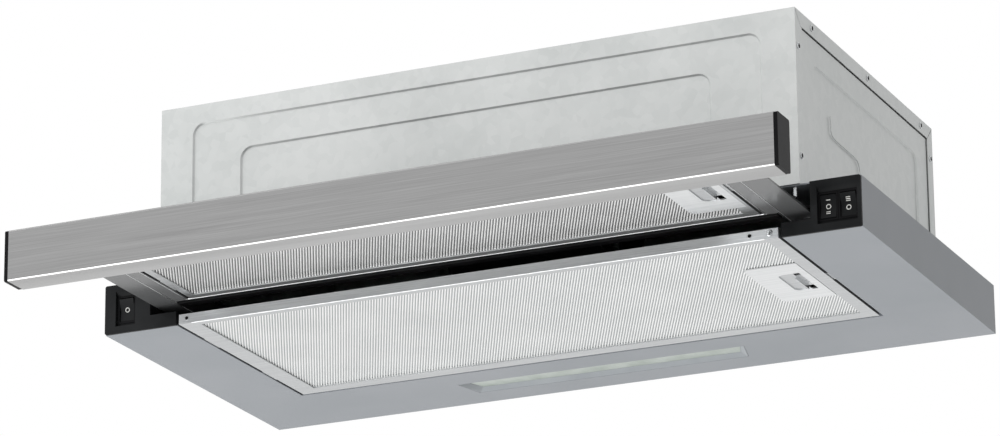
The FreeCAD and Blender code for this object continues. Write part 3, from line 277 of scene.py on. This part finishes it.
finishes = {
    "base_paint": stovedPaint("stovedPaint", "#959AA0", "#9EA2A8", 0.42),
    "galvanised": galvanisedSteel(),
    "block_plastic": mouldedPlastic("blackAbsBlock", "#1F2021", "#28292A", 0.4, gloss=0.06),
    "switch_black": mouldedPlastic("blackNylonSwitch", "#101011", "#18181A", 0.45, gloss=0.06),
    "rocker_plastic": mouldedPlastic("blackAbsRocker", "#161718", "#202122", 0.3, 0.6, gloss=0.1),
    "rail_nylon": mouldedPlastic("blackNylonRunner", "#0E0E0F", "#161617", 0.5, gloss=0.06),
    "bracket_zinc": zincPlate("zincPlatedBracket", "#9A9D9F", "#B5B8BA", 0.38),
    "fascia_steel": brushedStainless("brushedStainless", "#8D8D8D", "#9E9E9E"),
    "cap_plastic": mouldedPlastic("blackAbsCap", "#111112", "#1A1A1B", 0.38, gloss=0.06),
    "pan_paint": stovedPaint("greyPanPaint", "#6A6B6C", "#757677", 0.24),
    "arm_paint": stovedPaint("greyArmPaint", "#5C5D5E", "#6A6B6C", 0.22),
    "filter_aluminium": rolledAluminium("rolledAluminium", "#B8BABC", "#CDCFD0"),
    "filter_mesh": foilWithPaintedLight("foilWithPaintedLight", "#B0B4B5", "#FFFFFF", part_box("base_filter_mesh")[0]),
    "filter_padding": knittedWire(),
    "spring_steel": zincPlate("springSteel", "#B9BBBD", "#D6D8D9", 0.28),
    "lamp_plastic": mouldedPlastic("greyLampTray", "#A0A5AA", "#AAAFB3", 0.4),
    "lens_plastic": frostedPolycarbonate(),
    "circuit_board": mouldedPlastic("whiteCircuitBoard", "#DEDEDA", "#E8E8E4", 0.35, 1.2),
    "driver_plastic": mouldedPlastic("whiteDriverCase", "#D6D6D3", "#E0E0DC", 0.4),
    "scroll_plastic": mouldedPlastic("blackPolypropyleneScroll", "#242526", "#2E2F30", 0.45, 1.4),
    "wheel_plastic": mouldedPlastic("greyPolyamideWheel", "#3A3D40", "#45484B", 0.42),
    "shaft_steel": zincPlate("groundShaftSteel", "#AEB0B2", "#CFD1D2", 0.22),
    "motor_steel": zincPlate("zincPlatedMotorShell", "#85888A", "#9EA1A3", 0.35),
    "collar_plastic": mouldedPlastic("blackAbsCollar", "#1F2021", "#29292A", 0.42, 1.2),
    "flap_plastic": mouldedPlastic("darkFlapPlastic", "#2C2D2E", "#363738", 0.45),
    "capacitor_shell": mouldedPlastic("whiteCapacitorCan", "#DADAD6", "#E4E4E0", 0.3),
    "terminal_plastic": mouldedPlastic("greyTerminalBox", "#D0D0CC", "#DADAD6", 0.42),
}
slotOf = {part["node"]: part["material_slot"] for part in frame["record"]["subparts"]}
for name, node in nodes.items():
    node.data.materials.clear()
    node.data.materials.append(finishes[slotOf[name]])
screwZinc = zincPlate("brightZincScrew", "#B4B7B9", "#E2E4E5", 0.22)
# near white, for thin round bars along edges: painted highlight lines
paintedHighlightEdge = zincPlate("paintedHighlightSheetEdge", "#CFD1D2", "#EEEFF0", 0.3)
# near black, for holes, slots and joint gaps: painted shade
shadowBlack = mouldedPlastic("paintedShadowBlack", "#0B0B0C", "#121213", 0.6, gloss=0.1)
# the drawer's foil gets a darker dark tone than the base's: painted shade, for a stronger contrast between its lit
# crests and shaded slits
drawerFoilPaintedShade = foilWithPaintedLight("drawerFilterFoilDeepShade", "#6C6D6E", "#FFFFFF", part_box("drawer_filter_mesh")[0])
plateAluminium = rolledAluminium("satinAluminiumPlate", "#DCDEDF", "#EDEEEF")
for prefix in ("base_filter", "drawer_filter"):
    nodes[prefix + "_latch_plate"].data.materials[0] = plateAluminium
print("materials made:", len(finishes) + 5)


# the fascia's bend is drawn near white as a painted highlight, and its downward return lighter than its brushed front
# as painted light from below

fold = {
    "return": -0.95,  # a face that looks further down than this is the return
    "bend": -0.1,  # and one that looks further down than this is the bend
}


def paintFoldLight():
    panel = nodes["fascia_panel"].data
    panel.materials.append(brushedStainless("paintedHighlightStainlessBend", "#F0F0F0", "#FAFAFA"))
    panel.materials.append(brushedStainless("paintedLightStainlessReturn", "#ACACAC", "#BDBDBD"))
    # faces that look down get the painted highlight finish or the lighter painted light finish
    for face in panel.polygons:
        if face.normal.z < fold["return"]:
            face.material_index = 2
        elif face.normal.z < fold["bend"]:
            face.material_index = 1


paintFoldLight()


# moulded edges catch the light: a small round on each

rounds = {
    "width": 0.45,
    "angle": 50,
    "segments": 2,
    "weld": 0.004,
    "nodes": ("switch_block_right", "switch_block_left", "fascia_cap_right", "fascia_cap_left", "lamp_housing",
              "outlet_collar", "terminal_box", "drawer_rear_bar"),
    "fine": 0.18,  # on the rockers and switches
    "fineNodes": ("speed_rocker", "boost_rocker", "lamp_rocker", "speed_switch", "boost_switch", "lamp_switch"),
}


def roundEdges(node, width):
    weld = node.modifiers.new("weld", "WELD")
    weld.merge_threshold = rounds["weld"] * mm
    bevel = node.modifiers.new("roundEdges", "BEVEL")
    bevel.width, bevel.segments = width * mm, rounds["segments"]
    bevel.limit_method, bevel.angle_limit = "ANGLE", math.radians(rounds["angle"])
    bevel.use_clamp_overlap = True
    node.modifiers.new("evenShading", "WEIGHTED_NORMAL")


for name in rounds["nodes"]:
    roundEdges(nodes[name], rounds["width"])
for name in rounds["fineNodes"]:
    roundEdges(nodes[name], rounds["fine"])
print("edges rounded")


# pieces

def addPiece(name, mesh, body, material):
    piece = bpy.data.objects.new(name, mesh)
    bpy.context.scene.collection.objects.link(piece)
    mesh.materials.append(material)
    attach(piece, body)
    return piece


def makePiece(name, shape, body, material, smooth=False):
    mesh = bpy.data.meshes.new(name)
    bmesh.ops.recalc_face_normals(shape, faces=shape.faces)
    shape.to_mesh(mesh)
    shape.free()
    for face in mesh.polygons:
        face.use_smooth = smooth
    return addPiece(name, mesh, body, material)


def spot(x, y, z):
    # a place in the hood's own millimetres, from the middle of the base's lower front edge
    return Vector((x, y, z)) * mm + rowShift


def turn(shape, profile, place, axis, steps=20):
    # a round form: radius and height pairs along an axis
    side = axis.orthogonal().normalized()
    other = axis.cross(side)
    rings = []
    for radius, height in profile:
        centre = place + axis * height * mm
        angles = [2 * math.pi * i / steps for i in range(steps)] if radius else [0]
        around = [(side * math.cos(t) + other * math.sin(t)) * radius * mm for t in angles]
        rings.append([shape.verts.new(centre + out) for out in around])
    for lower, upper in zip(rings, rings[1:]):
        for i in range(steps):
            corners = ((lower, i), (lower, i + 1), (upper, i + 1), (upper, i))
            loop = [ring[step % len(ring)] for ring, step in corners]
            shape.faces.new(list(dict.fromkeys(loop)))


def bar(shape, low, high):
    corners = [shape.verts.new((x, y, z)) for z in (low.z, high.z) for y in (low.y, high.y) for x in (low.x, high.x)]
    for loop in ((0, 2, 3, 1), (4, 5, 7, 6), (0, 1, 5, 4), (2, 6, 7, 3), (0, 4, 6, 2), (1, 3, 7, 5)):
        shape.faces.new([corners[i] for i in loop])


filters = {
    "height": 0.5,  # of the ridges
    "sheet": 0.25,
    "pocketMargin": 2.0,  # how far the sheet laps behind the latch plate
    "hole": 0.45,  # radius of the holes in the flat hem
    "holeSides": 8,
    "join": 0.01,  # corners of the hem's cells nearer than this become one
    "edgeLine": 0.6,  # radius of the round bar that carries the painted highlight along the edge
    "edgeSides": 12,
    "edgeSunk": 0.3,  # how far its middle lies inside the frame
    "backReach": 7.0,  # how far the rear edge runs past the latch plate
}


def ridgeSheet(shape, origin, x0, x1, y0, y1):
    # zigzag sheet with its ridges at a slant, trimmed to a rectangle
    half, deep, slant = lattice["pitch"] * mm / 2, y1 - y0, lattice["slant"]
    first = math.floor((x0 - origin.x + (y0 - origin.y) * slant) / half)
    last = math.ceil((x1 - origin.x + (y1 - origin.y) * slant) / half)
    sheet = bmesh.new()
    lower, upper = [], []
    for i in range(first, last + 1):
        z = origin.z + (filters["height"] * mm if i % 2 else 0)
        ends = [(origin.x + i * half - (y - origin.y) * slant, y) for y in (y0, y1)]
        lower.append([sheet.verts.new((x, y, z)) for x, y in ends])
        upper.append([sheet.verts.new((x, y, z + filters["sheet"] * mm)) for x, y in ends])
    for a, b, c, d in zip(lower, lower[1:], upper, upper[1:]):
        sheet.faces.new((a[0], a[1], b[1], b[0]))
        sheet.faces.new((c[0], d[0], d[1], c[1]))
        for end in (0, 1):
            sheet.faces.new((a[end], b[end], d[end], c[end]))
    for column, top in ((lower[0], upper[0]), (lower[-1], upper[-1])):
        sheet.faces.new((column[0], top[0], top[1], column[1]))
    for x, outward in ((x0, -1), (x1, 1)):
        everything = sheet.verts[:] + sheet.edges[:] + sheet.faces[:]
        cut = bmesh.ops.bisect_plane(sheet, geom=everything, plane_co=(x, 0, 0), plane_no=(outward, 0, 0),
                                     clear_outer=True)
        rim = [part for part in cut["geom_cut"] if isinstance(part, bmesh.types.BMEdge)]
        bmesh.ops.holes_fill(sheet, edges=rim, sides=0)
    trimmed = bpy.data.meshes.new("trimmedSheet")
    sheet.to_mesh(trimmed)
    sheet.free()
    shape.from_mesh(trimmed)
    bpy.data.meshes.remove(trimmed)


def holeCell(shape, x, y, across, deep, shift, low):
    # one cell of the flat hem with its hole
    rim, hole, sides = [], [], filters["holeSides"]
    middle = Vector((x + across / 2, y + deep / 2, low))
    for i in range(sides):
        angle = 2 * math.pi * i / sides
        u, v = math.cos(angle), math.sin(angle)
        square = max(abs(u), abs(v))
        rim.append(shape.verts.new(middle + Vector((u / square * across / 2, v / square * deep / 2, 0))))
        hole.append(shape.verts.new(middle + Vector((u * filters["hole"] * mm + shift, v * filters["hole"] * mm, 0))))
    for i in range(sides):
        after = (i + 1) % sides
        shape.faces.new((rim[i], rim[after], hole[after], hole[i]))


def hemStrip(prefix, material, x0, x1, y0, rows):
    # flat hem behind the ridges, with staggered rows of small holes
    across, deep = lattice["pitch"] * mm, lattice["row"] * mm
    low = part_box(prefix + "_mesh")[0].z
    shape = bmesh.new()
    for row in range(rows):
        shift = across / 4 if row % 2 else -across / 4
        for i in range(int((x1 - x0) / across)):
            holeCell(shape, x0 + i * across, y0 + row * deep, across, deep, shift if rows > 1 else 0, low)
    bmesh.ops.remove_doubles(shape, verts=shape.verts, dist=filters["join"] * mm)
    piece = makePiece(prefix + "Hem", shape, prefix, material)
    sheet = piece.modifiers.new("sheet", "SOLIDIFY")
    sheet.thickness, sheet.offset = filters["sheet"] * mm, -1


def filterMesh(prefix, material, backLip, rows):
    low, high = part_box(prefix + "_mesh")
    plateLow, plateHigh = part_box(prefix + "_latch_plate")
    margin = filters["pocketMargin"] * mm
    left, front, back = plateLow.x + margin, plateLow.y + margin, plateHigh.y - margin
    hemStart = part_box(prefix + "_frame")[1].y - (backLip + rows * lattice["row"]) * mm
    shape = bmesh.new()
    ridgeSheet(shape, low, low.x, left, low.y, hemStart)
    ridgeSheet(shape, low, left, high.x, low.y, front)
    ridgeSheet(shape, low, left, high.x, back, hemStart)
    piece = makePiece(prefix + "RidgedSheet", shape, prefix, material)
    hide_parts(prefix + "_mesh")
    hemStrip(prefix, material, low.x, high.x, hemStart, rows + 1)


def paintHighlightEdge(prefix, atBack):
    # near white round bar along the filter's front or back edge: a painted highlight
    low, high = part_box(prefix + "_frame")
    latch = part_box(prefix + "_latch_plate")[1].x
    right = latch + (filters["backReach"] if atBack else 0) * mm
    left = -right
    radius, sunk = filters["edgeLine"], filters["edgeSunk"] * mm
    shape = bmesh.new()
    place = Vector((left, high.y - sunk if atBack else low.y + sunk, low.z + sunk))
    long = (right - left) / mm
    profile = ((0, 0), (radius, 0), (radius, long), (0, long))
    turn(shape, profile, place, Vector((1, 0, 0)), filters["edgeSides"])
    makePiece(prefix + "PaintedHighlightEdge", shape, prefix, paintedHighlightEdge)


filterMesh("base_filter", finishes["filter_mesh"], backLip=12.0, rows=1)
filterMesh("drawer_filter", drawerFoilPaintedShade, backLip=8.0, rows=3)
paintHighlightEdge("base_filter", atBack=False)
paintHighlightEdge("drawer_filter", atBack=True)
print("filter faces made")


latches = {
    "window": 17.0,  # length of the latch plate's opening
    "lap": 1.0,  # the thumb plate starts this far before the opening
    "thumb": (12.5, 41.0),  # plain plate behind it that the thumb pushes
    "height": (0.88, 0.98),  # between the plate and the bolt, above the filter's underside
    "travel": 5.0,
}


def thumbPlate(prefix, body):
    plateLow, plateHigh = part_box(prefix + "_latch_plate")
    middle = (plateLow.y + plateHigh.y) / 2
    window = latches["window"] * mm
    windowEnd = plateHigh.x - (plateHigh.x - plateLow.x - window) / 4  # a quarter of the spare length
    start = windowEnd - window - latches["lap"] * mm
    long, half = latches["thumb"][0] * mm, latches["thumb"][1] * mm / 2
    shape = bmesh.new()
    bar(shape, Vector((start, middle - half, plateLow.z + latches["height"][0] * mm)),
        Vector((start + long, middle + half, plateLow.z + latches["height"][1] * mm)))
    makePiece(prefix + "ThumbPlate", shape, body, finishes["filter_aluminium"])


def latchSpring(prefix):
    # the folded leaf spring, copied from the part with its own finish, riding with its filter
    mesh = nodes[prefix + "_latch_spring"].data.copy()
    mesh.materials.clear()
    piece = addPiece(prefix + "LeafSpring", mesh, prefix, finishes["spring_steel"])
    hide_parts(prefix + "_latch_spring")
    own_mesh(piece)


thumbPlate("base_filter", "base_latch")
thumbPlate("drawer_filter", "drawer_latch")
latchSpring("base_filter")
latchSpring("drawer_filter")
print("latches dressed")


rivets = {
    "head": ((0, 0), (2.5, 0), (2.4, 0.4), (2.1, 0.7), (1.85, 0.75), (1.75, 0.4), (0, 0.4)),
    # black disc filling the mandrel hole: painted shade
    "boreShade": ((0, 0.4), (1.7, 0.4), (1.7, 0.78), (0.9, 0.95), (0, 0.95)),
    "frontWrap": ((5.8, 60.0), (5.8, 142.5)),
    "topWrap": ((34.0, 165.2), (150.0, 165.2), (266.0, 165.2)),
    "backWrap": ((286.0, 60.0), (286.0, 144.5)),
}


def bodyRivets():
    # blind rivets through the wraps of the body's sides, each with a black disc in its mandrel hole as painted shade
    heads, boreShades = bmesh.new(), bmesh.new()
    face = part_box("body_front_panel")[1].x / mm
    for side in (1, -1):
        for y, z in rivets["frontWrap"] + rivets["topWrap"] + rivets["backWrap"]:
            place, axis = spot(side * face, y, z), Vector((side, 0, 0))
            turn(heads, rivets["head"], place, axis)
            turn(boreShades, rivets["boreShade"], place, axis)
    makePiece("bodyRivets", heads, "base", screwZinc, smooth=True)
    makePiece("bodyRivetBoreShades", boreShades, "base", shadowBlack)


bodyRivets()


seams = {
    "width": 0.9,
    "proud": 0.12,
    "top": (14.0, 279.9, 159.4),  # from y to y, upper edge
    "back": (280.0, 39.0, 159.4),  # rear edge, from z to z
    "bead": ((70, 110), (70, 98), (76, 94.5), (118, 94.5), (128, 92), (131, 82), (131, 40)),  # pressed S, y and z
    "beadRadius": 0.38,
    "beadSunk": 0.15,
}


def sideSeamShadows():
    # black strips along the joints between the side panels and the wraps: painted shadow of the wraps' edges
    shape = bmesh.new()
    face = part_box("body_side_right")[1].x / mm
    width, proud = seams["width"], seams["proud"]
    y0, y1, top = seams["top"]
    edge, z0, z1 = seams["back"]
    for side in (1, -1):
        x0, x1 = sorted((side * face, side * (face + proud)))
        bar(shape, spot(x0, y0, top - width), spot(x1, y1, top))
        bar(shape, spot(x0, edge - width, z0), spot(x1, edge, z1 - width))
    makePiece("bodySeamShadows", shape, "base", shadowBlack)


def sideBeads():
    # the S shaped bead pressed into each side panel
    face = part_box("body_side_right")[1].x / mm
    for side, name in ((1, "sideBeadRight"), (-1, "sideBeadLeft")):
        curve = bpy.data.curves.new(name, "CURVE")
        curve.dimensions, curve.bevel_depth, curve.bevel_resolution = "3D", seams["beadRadius"] * mm, 2
        curve.use_fill_caps = True
        spline = curve.splines.new("NURBS")
        spline.points.add(len(seams["bead"]) - 1)
        for point, (y, z) in zip(spline.points, seams["bead"]):
            point.co = (*spot(side * (face - seams["beadSunk"]), y, z), 1)
        spline.order_u, spline.use_endpoint_u, spline.resolution_u = 3, True, 8
        addPiece(name, curve, "base", finishes["galvanised"])


sideSeamShadows()
sideBeads()
print("body sides dressed")


screws = {
    "x": 248.9,
    "rows": (6.5, 143.0, 279.5),
    "point": 28.0,
    "seat": 38.85,  # on the body's foot
    "core": 1.45,
    "thread": 2.1,
    "pitch": 1.4,
    "tip": (0.6, 1.6),  # its width as a share of the core, and its length
    "threadStart": 2,
    "plain": 3,  # length without thread
    "neck": 0.6,
    "sides": 14,
    "head": ((3.9, 0), (3.9, 1.3), (3.3, 1.8), (1.4, 1.9), (1.2, 0.9), (0, 0.9)),
}


def bodyScrews():
    # self-tapping screws down through the body's feet and the base's ring
    shape = bmesh.new()
    low, seat, pitch = screws["point"], screws["seat"], screws["pitch"]
    core, start = screws["core"], screws["threadStart"]
    profile = [(0, 0), (core * screws["tip"][0], screws["tip"][1])]
    turns = int((seat - low - screws["plain"]) / pitch)
    for i in range(turns):
        profile += [(core, start + i * pitch), (screws["thread"], start + (i + 0.5) * pitch)]
    profile += [(core, seat - low - screws["neck"]), (core, seat - low)]
    profile += [(radius, seat - low + height) for radius, height in screws["head"]]
    for side in (1, -1):
        for y in screws["rows"]:
            turn(shape, profile, spot(side * screws["x"], y, low), Vector((0, 0, 1)), screws["sides"])
    makePiece("bodyScrews", shape, "base", screwZinc, smooth=True)


bodyScrews()


stripFittings = {
    "height": 4.2,  # above the filter's underside
    "eyes": (-231.0, 216.0),
    "screw": 231.0,
    "eye": ((0, 0), (1.9, 0), (1.85, 0.25), (1.5, 0.3), (1.4, 0.08), (0, 0.08)),
    "eyeDark": ((0, 0.08), (1.38, 0.08), (1.38, 0.16), (0, 0.16)),
    "screwHead": ((0, 0), (2.6, 0), (2.45, 0.3), (1.8, 0.5), (0, 0.55)),
    "cross": (1.3, 0.28),  # half the length and width of each arm of its cross slot
    "crossDepth": (0.6, 0.4),
}


def frontStripFittings():
    # peg holes and the screw in the front edge of the base's filter; the holes and the screw's cross slot are black
    # discs and bars, painted shade
    rims, darks, head, slot = bmesh.new(), bmesh.new(), bmesh.new(), bmesh.new()
    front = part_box("base_filter_frame")[0]
    ahead = Vector((0, -1, 0))
    for x in stripFittings["eyes"]:
        place = Vector((x * mm, front.y, front.z + stripFittings["height"] * mm))
        turn(rims, stripFittings["eye"], place, ahead)
        turn(darks, stripFittings["eyeDark"], place, ahead)
    place = Vector((stripFittings["screw"] * mm, front.y, front.z + stripFittings["height"] * mm))
    turn(head, stripFittings["screwHead"], place, ahead)
    long, thin = stripFittings["cross"]
    near, far = stripFittings["crossDepth"]
    for u, v in ((long, thin), (thin, long)):
        bar(slot, place + Vector((-u, -near, -v)) * mm, place + Vector((u, -far, v)) * mm)
    makePiece("filterPegEyes", rims, "base_filter", finishes["filter_aluminium"], smooth=True)
    # black discs in the peg holes and black bars in the screw's cross: painted shade
    makePiece("filterPegHoleShades", darks, "base_filter", shadowBlack)
    makePiece("filterScrew", head, "base_filter", screwZinc, smooth=True)
    makePiece("filterScrewCrossShade", slot, "base_filter", shadowBlack)


frontStripFittings()
print("screws and rivets made")


drawerEdges = {
    "radius": 0.35,
    "start": -131.0,
    "end": 128.0,
    "webX": 240.3,  # lower edge of each arm's web
    "ledgeX": 229.3,  # inner edge of each ledge
    "ledgeEnd": -2.0,
    "level": 17.5,
    "sides": 8,
}


def paintedHighlightEdges():
    # near white round bars along the sheet edges under the drawer: painted highlight lines on the edges of the arms and
    # ledges
    shape = bmesh.new()
    for side in (1, -1):
        for x, end in ((drawerEdges["webX"], drawerEdges["end"]), (drawerEdges["ledgeX"], drawerEdges["ledgeEnd"])):
            long = end - drawerEdges["start"]
            profile = ((0, 0), (drawerEdges["radius"], 0), (drawerEdges["radius"], long), (0, long))
            place = spot(side * x, drawerEdges["start"], drawerEdges["level"])
            turn(shape, profile, place, Vector((0, 1, 0)), drawerEdges["sides"])
    makePiece("drawerPaintedHighlightEdges", shape, "drawer", paintedHighlightEdge)


paintedHighlightEdges()
print("drawer dressed")


marks = {
    "proud": 0.06,
    "line": 0.6,
    "barLength": 3.2,
    "barPitch": 1.25,
    "ringRadius": 1.6,
    "ringSteps": 28,
    "pivot": (5.0, 18.5),  # depth and height of the rockers' pivots
    "front": 2.8,  # the rocker's face stands out this far at its ends
    "dip": 1.4,  # and this far in its middle
    "reach": 8.45,  # from the middle of its face to each end
}
marksInk = printedInk()


def rockerFace(centreX, tilt, u, v):
    # a point on a rocker's V face: u across, v up from its middle
    depth = marks["dip"] + (marks["front"] - marks["dip"]) * abs(v) / marks["reach"] + marks["proud"]
    turned = Matrix.Rotation(math.radians(tilt), 3, "X") @ Vector((0, -depth, v))
    pivot = Vector((0, marks["pivot"][0], marks["pivot"][1]))
    return (pivot + turned + Vector((u, 0, 0))) * mm + rowShift + Vector((centreX, 0, 0))


def ringMark(shape, place):
    steps = marks["ringSteps"]
    inner, outer = marks["ringRadius"] - marks["line"] / 2, marks["ringRadius"] + marks["line"] / 2
    loops = []
    for i in range(steps):
        angle = 2 * math.pi * i / steps
        loops.append([shape.verts.new(place(r * math.cos(angle), r * math.sin(angle))) for r in (inner, outer)])
    for i in range(steps):
        a, b = loops[i], loops[(i + 1) % steps]
        shape.faces.new((a[0], a[1], b[1], b[0]))


def barMark(shape, place, count):
    half, wide = marks["line"] / 2, marks["barLength"] / 2
    for i in range(count):
        v = (i - (count - 1) / 2) * marks["barPitch"]
        corners = ((-wide, -half), (wide, -half), (wide, half), (-wide, half))
        shape.faces.new([shape.verts.new(place(x, v + z)) for x, z in corners])


def rockerMarks(node, tilt, signs):
    low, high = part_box(node)
    centreX = (low.x + high.x) / 2
    shape = bmesh.new()
    for sign, v in signs:
        def place(u, w, height=v):
            return rockerFace(centreX, tilt, u, height + w)

        if sign == "O":
            ringMark(shape, place)
        else:
            barMark(shape, place, len(sign))
    mesh = bpy.data.meshes.new(node + "Marks")
    shape.to_mesh(mesh)
    shape.free()
    addPiece(node + "Marks", mesh, node, marksInk)


rockerMarks("speed_rocker", 0, (("I", 4.7), ("O", 0.0), ("II", -4.6)))
rockerMarks("boost_rocker", 7, (("III", 3.8), ("O", -2.2)))
rockerMarks("lamp_rocker", 7, (("O", 0.0),))
print("switch marks made")


# floor, lamps and surroundings

studio = {
    "floorHeight": -7.0,  # far below, clear of a view from 35 degrees under the hood
    "floorSize": 8,
    "ambient": 0.6,
    "falloff": 0.45,  # the room is this much lighter on the left and darker on the right
    "sun": {"strength": 0.85, "angle": 25, "from": (-0.7, -0.4, 0.6)},
    "fill": {"power": 26, "size": 2.0, "place": (-1.1, -1.6, -1.2)},
}


def paleFloor():
    # matt pale studio paper, mottled so that it isn't a flat tone
    material, tree, shader, place = startMaterial("studioPaper", "#F2F2F0", 0.0, 0.9)
    fibres = addNode(tree, "ShaderNodeTexNoise", {"Vector": place, "Scale": perMillimetre(40), "Detail": 4.0})
    tree.links.new(tones(tree, fibres.outputs["Fac"], "#EFEFED", "#F5F5F3", 0.3, 0.7), shader.inputs["Base Color"])
    return material


def makeFloor():
    mesh = bpy.data.meshes.new("studioFloor")
    shape = bmesh.new()
    bmesh.ops.create_grid(shape, x_segments=4, y_segments=4, size=studio["floorSize"])
    shape.to_mesh(mesh)
    shape.free()
    floor = bpy.data.objects.new("studioFloor", mesh)
    floor.location.z = studio["floorHeight"]
    mesh.materials.append(paleFloor())
    bpy.context.scene.collection.objects.link(floor)


def placeLamp(name, data, place):
    lamp = bpy.data.objects.new(name, data)
    lamp.location = place
    lamp.rotation_euler = (-Vector(place)).to_track_quat("-Z", "Y").to_euler()
    lamp.visible_camera = False
    bpy.context.scene.collection.objects.link(lamp)


def addFill(values):
    data = bpy.data.lights.new("fillLamp", "AREA")
    data.energy, data.size = values["power"], values["size"]
    placeLamp("fillLamp", data, values["place"])


def addSun(values):
    data = bpy.data.lights.new("softSun", "SUN")
    data.energy, data.angle = values["strength"], math.radians(values["angle"])
    placeLamp("softSun", data, values["from"])


def makeWorld():
    world = bpy.data.worlds.new("studioWorld")
    bpy.context.scene.world = world
    world.use_nodes = True
    tree = world.node_tree
    tree.nodes.clear()
    path = addNode(tree, "ShaderNodeLightPath").outputs
    seen = addNode(tree, "ShaderNodeMath", {0: path["Is Camera Ray"], 1: path["Is Glossy Ray"]}, operation="MAXIMUM")
    shown = addNode(tree, "ShaderNodeMath", {0: seen.outputs[0], 1: path["Is Transmission Ray"]},
                    operation="MAXIMUM")
    around = addNode(tree, "ShaderNodeTexCoord").outputs["Generated"]
    sideways = addNode(tree, "ShaderNodeSeparateXYZ", {"Vector": around}).outputs["X"]
    light, dark = studio["ambient"] + studio["falloff"], studio["ambient"] - studio["falloff"]
    room = addNode(tree, "ShaderNodeMapRange", {"Value": sideways, "From Min": -1.0, "To Min": light, "To Max": dark})
    strength = addNode(tree, "ShaderNodeMapRange", {"Value": shown.outputs[0], "To Min": room.outputs["Result"],
                                                    "To Max": 1.0})
    sky = addNode(tree, "ShaderNodeBackground", {"Color": (1, 1, 1, 1), "Strength": strength.outputs["Result"]})
    addNode(tree, "ShaderNodeOutputWorld", {"Surface": sky.outputs["Background"]})


makeFloor()
makeWorld()
addFill(studio["fill"])
addSun(studio["sun"])
bpy.context.scene.view_settings.view_transform = "Standard"
print("studio made")
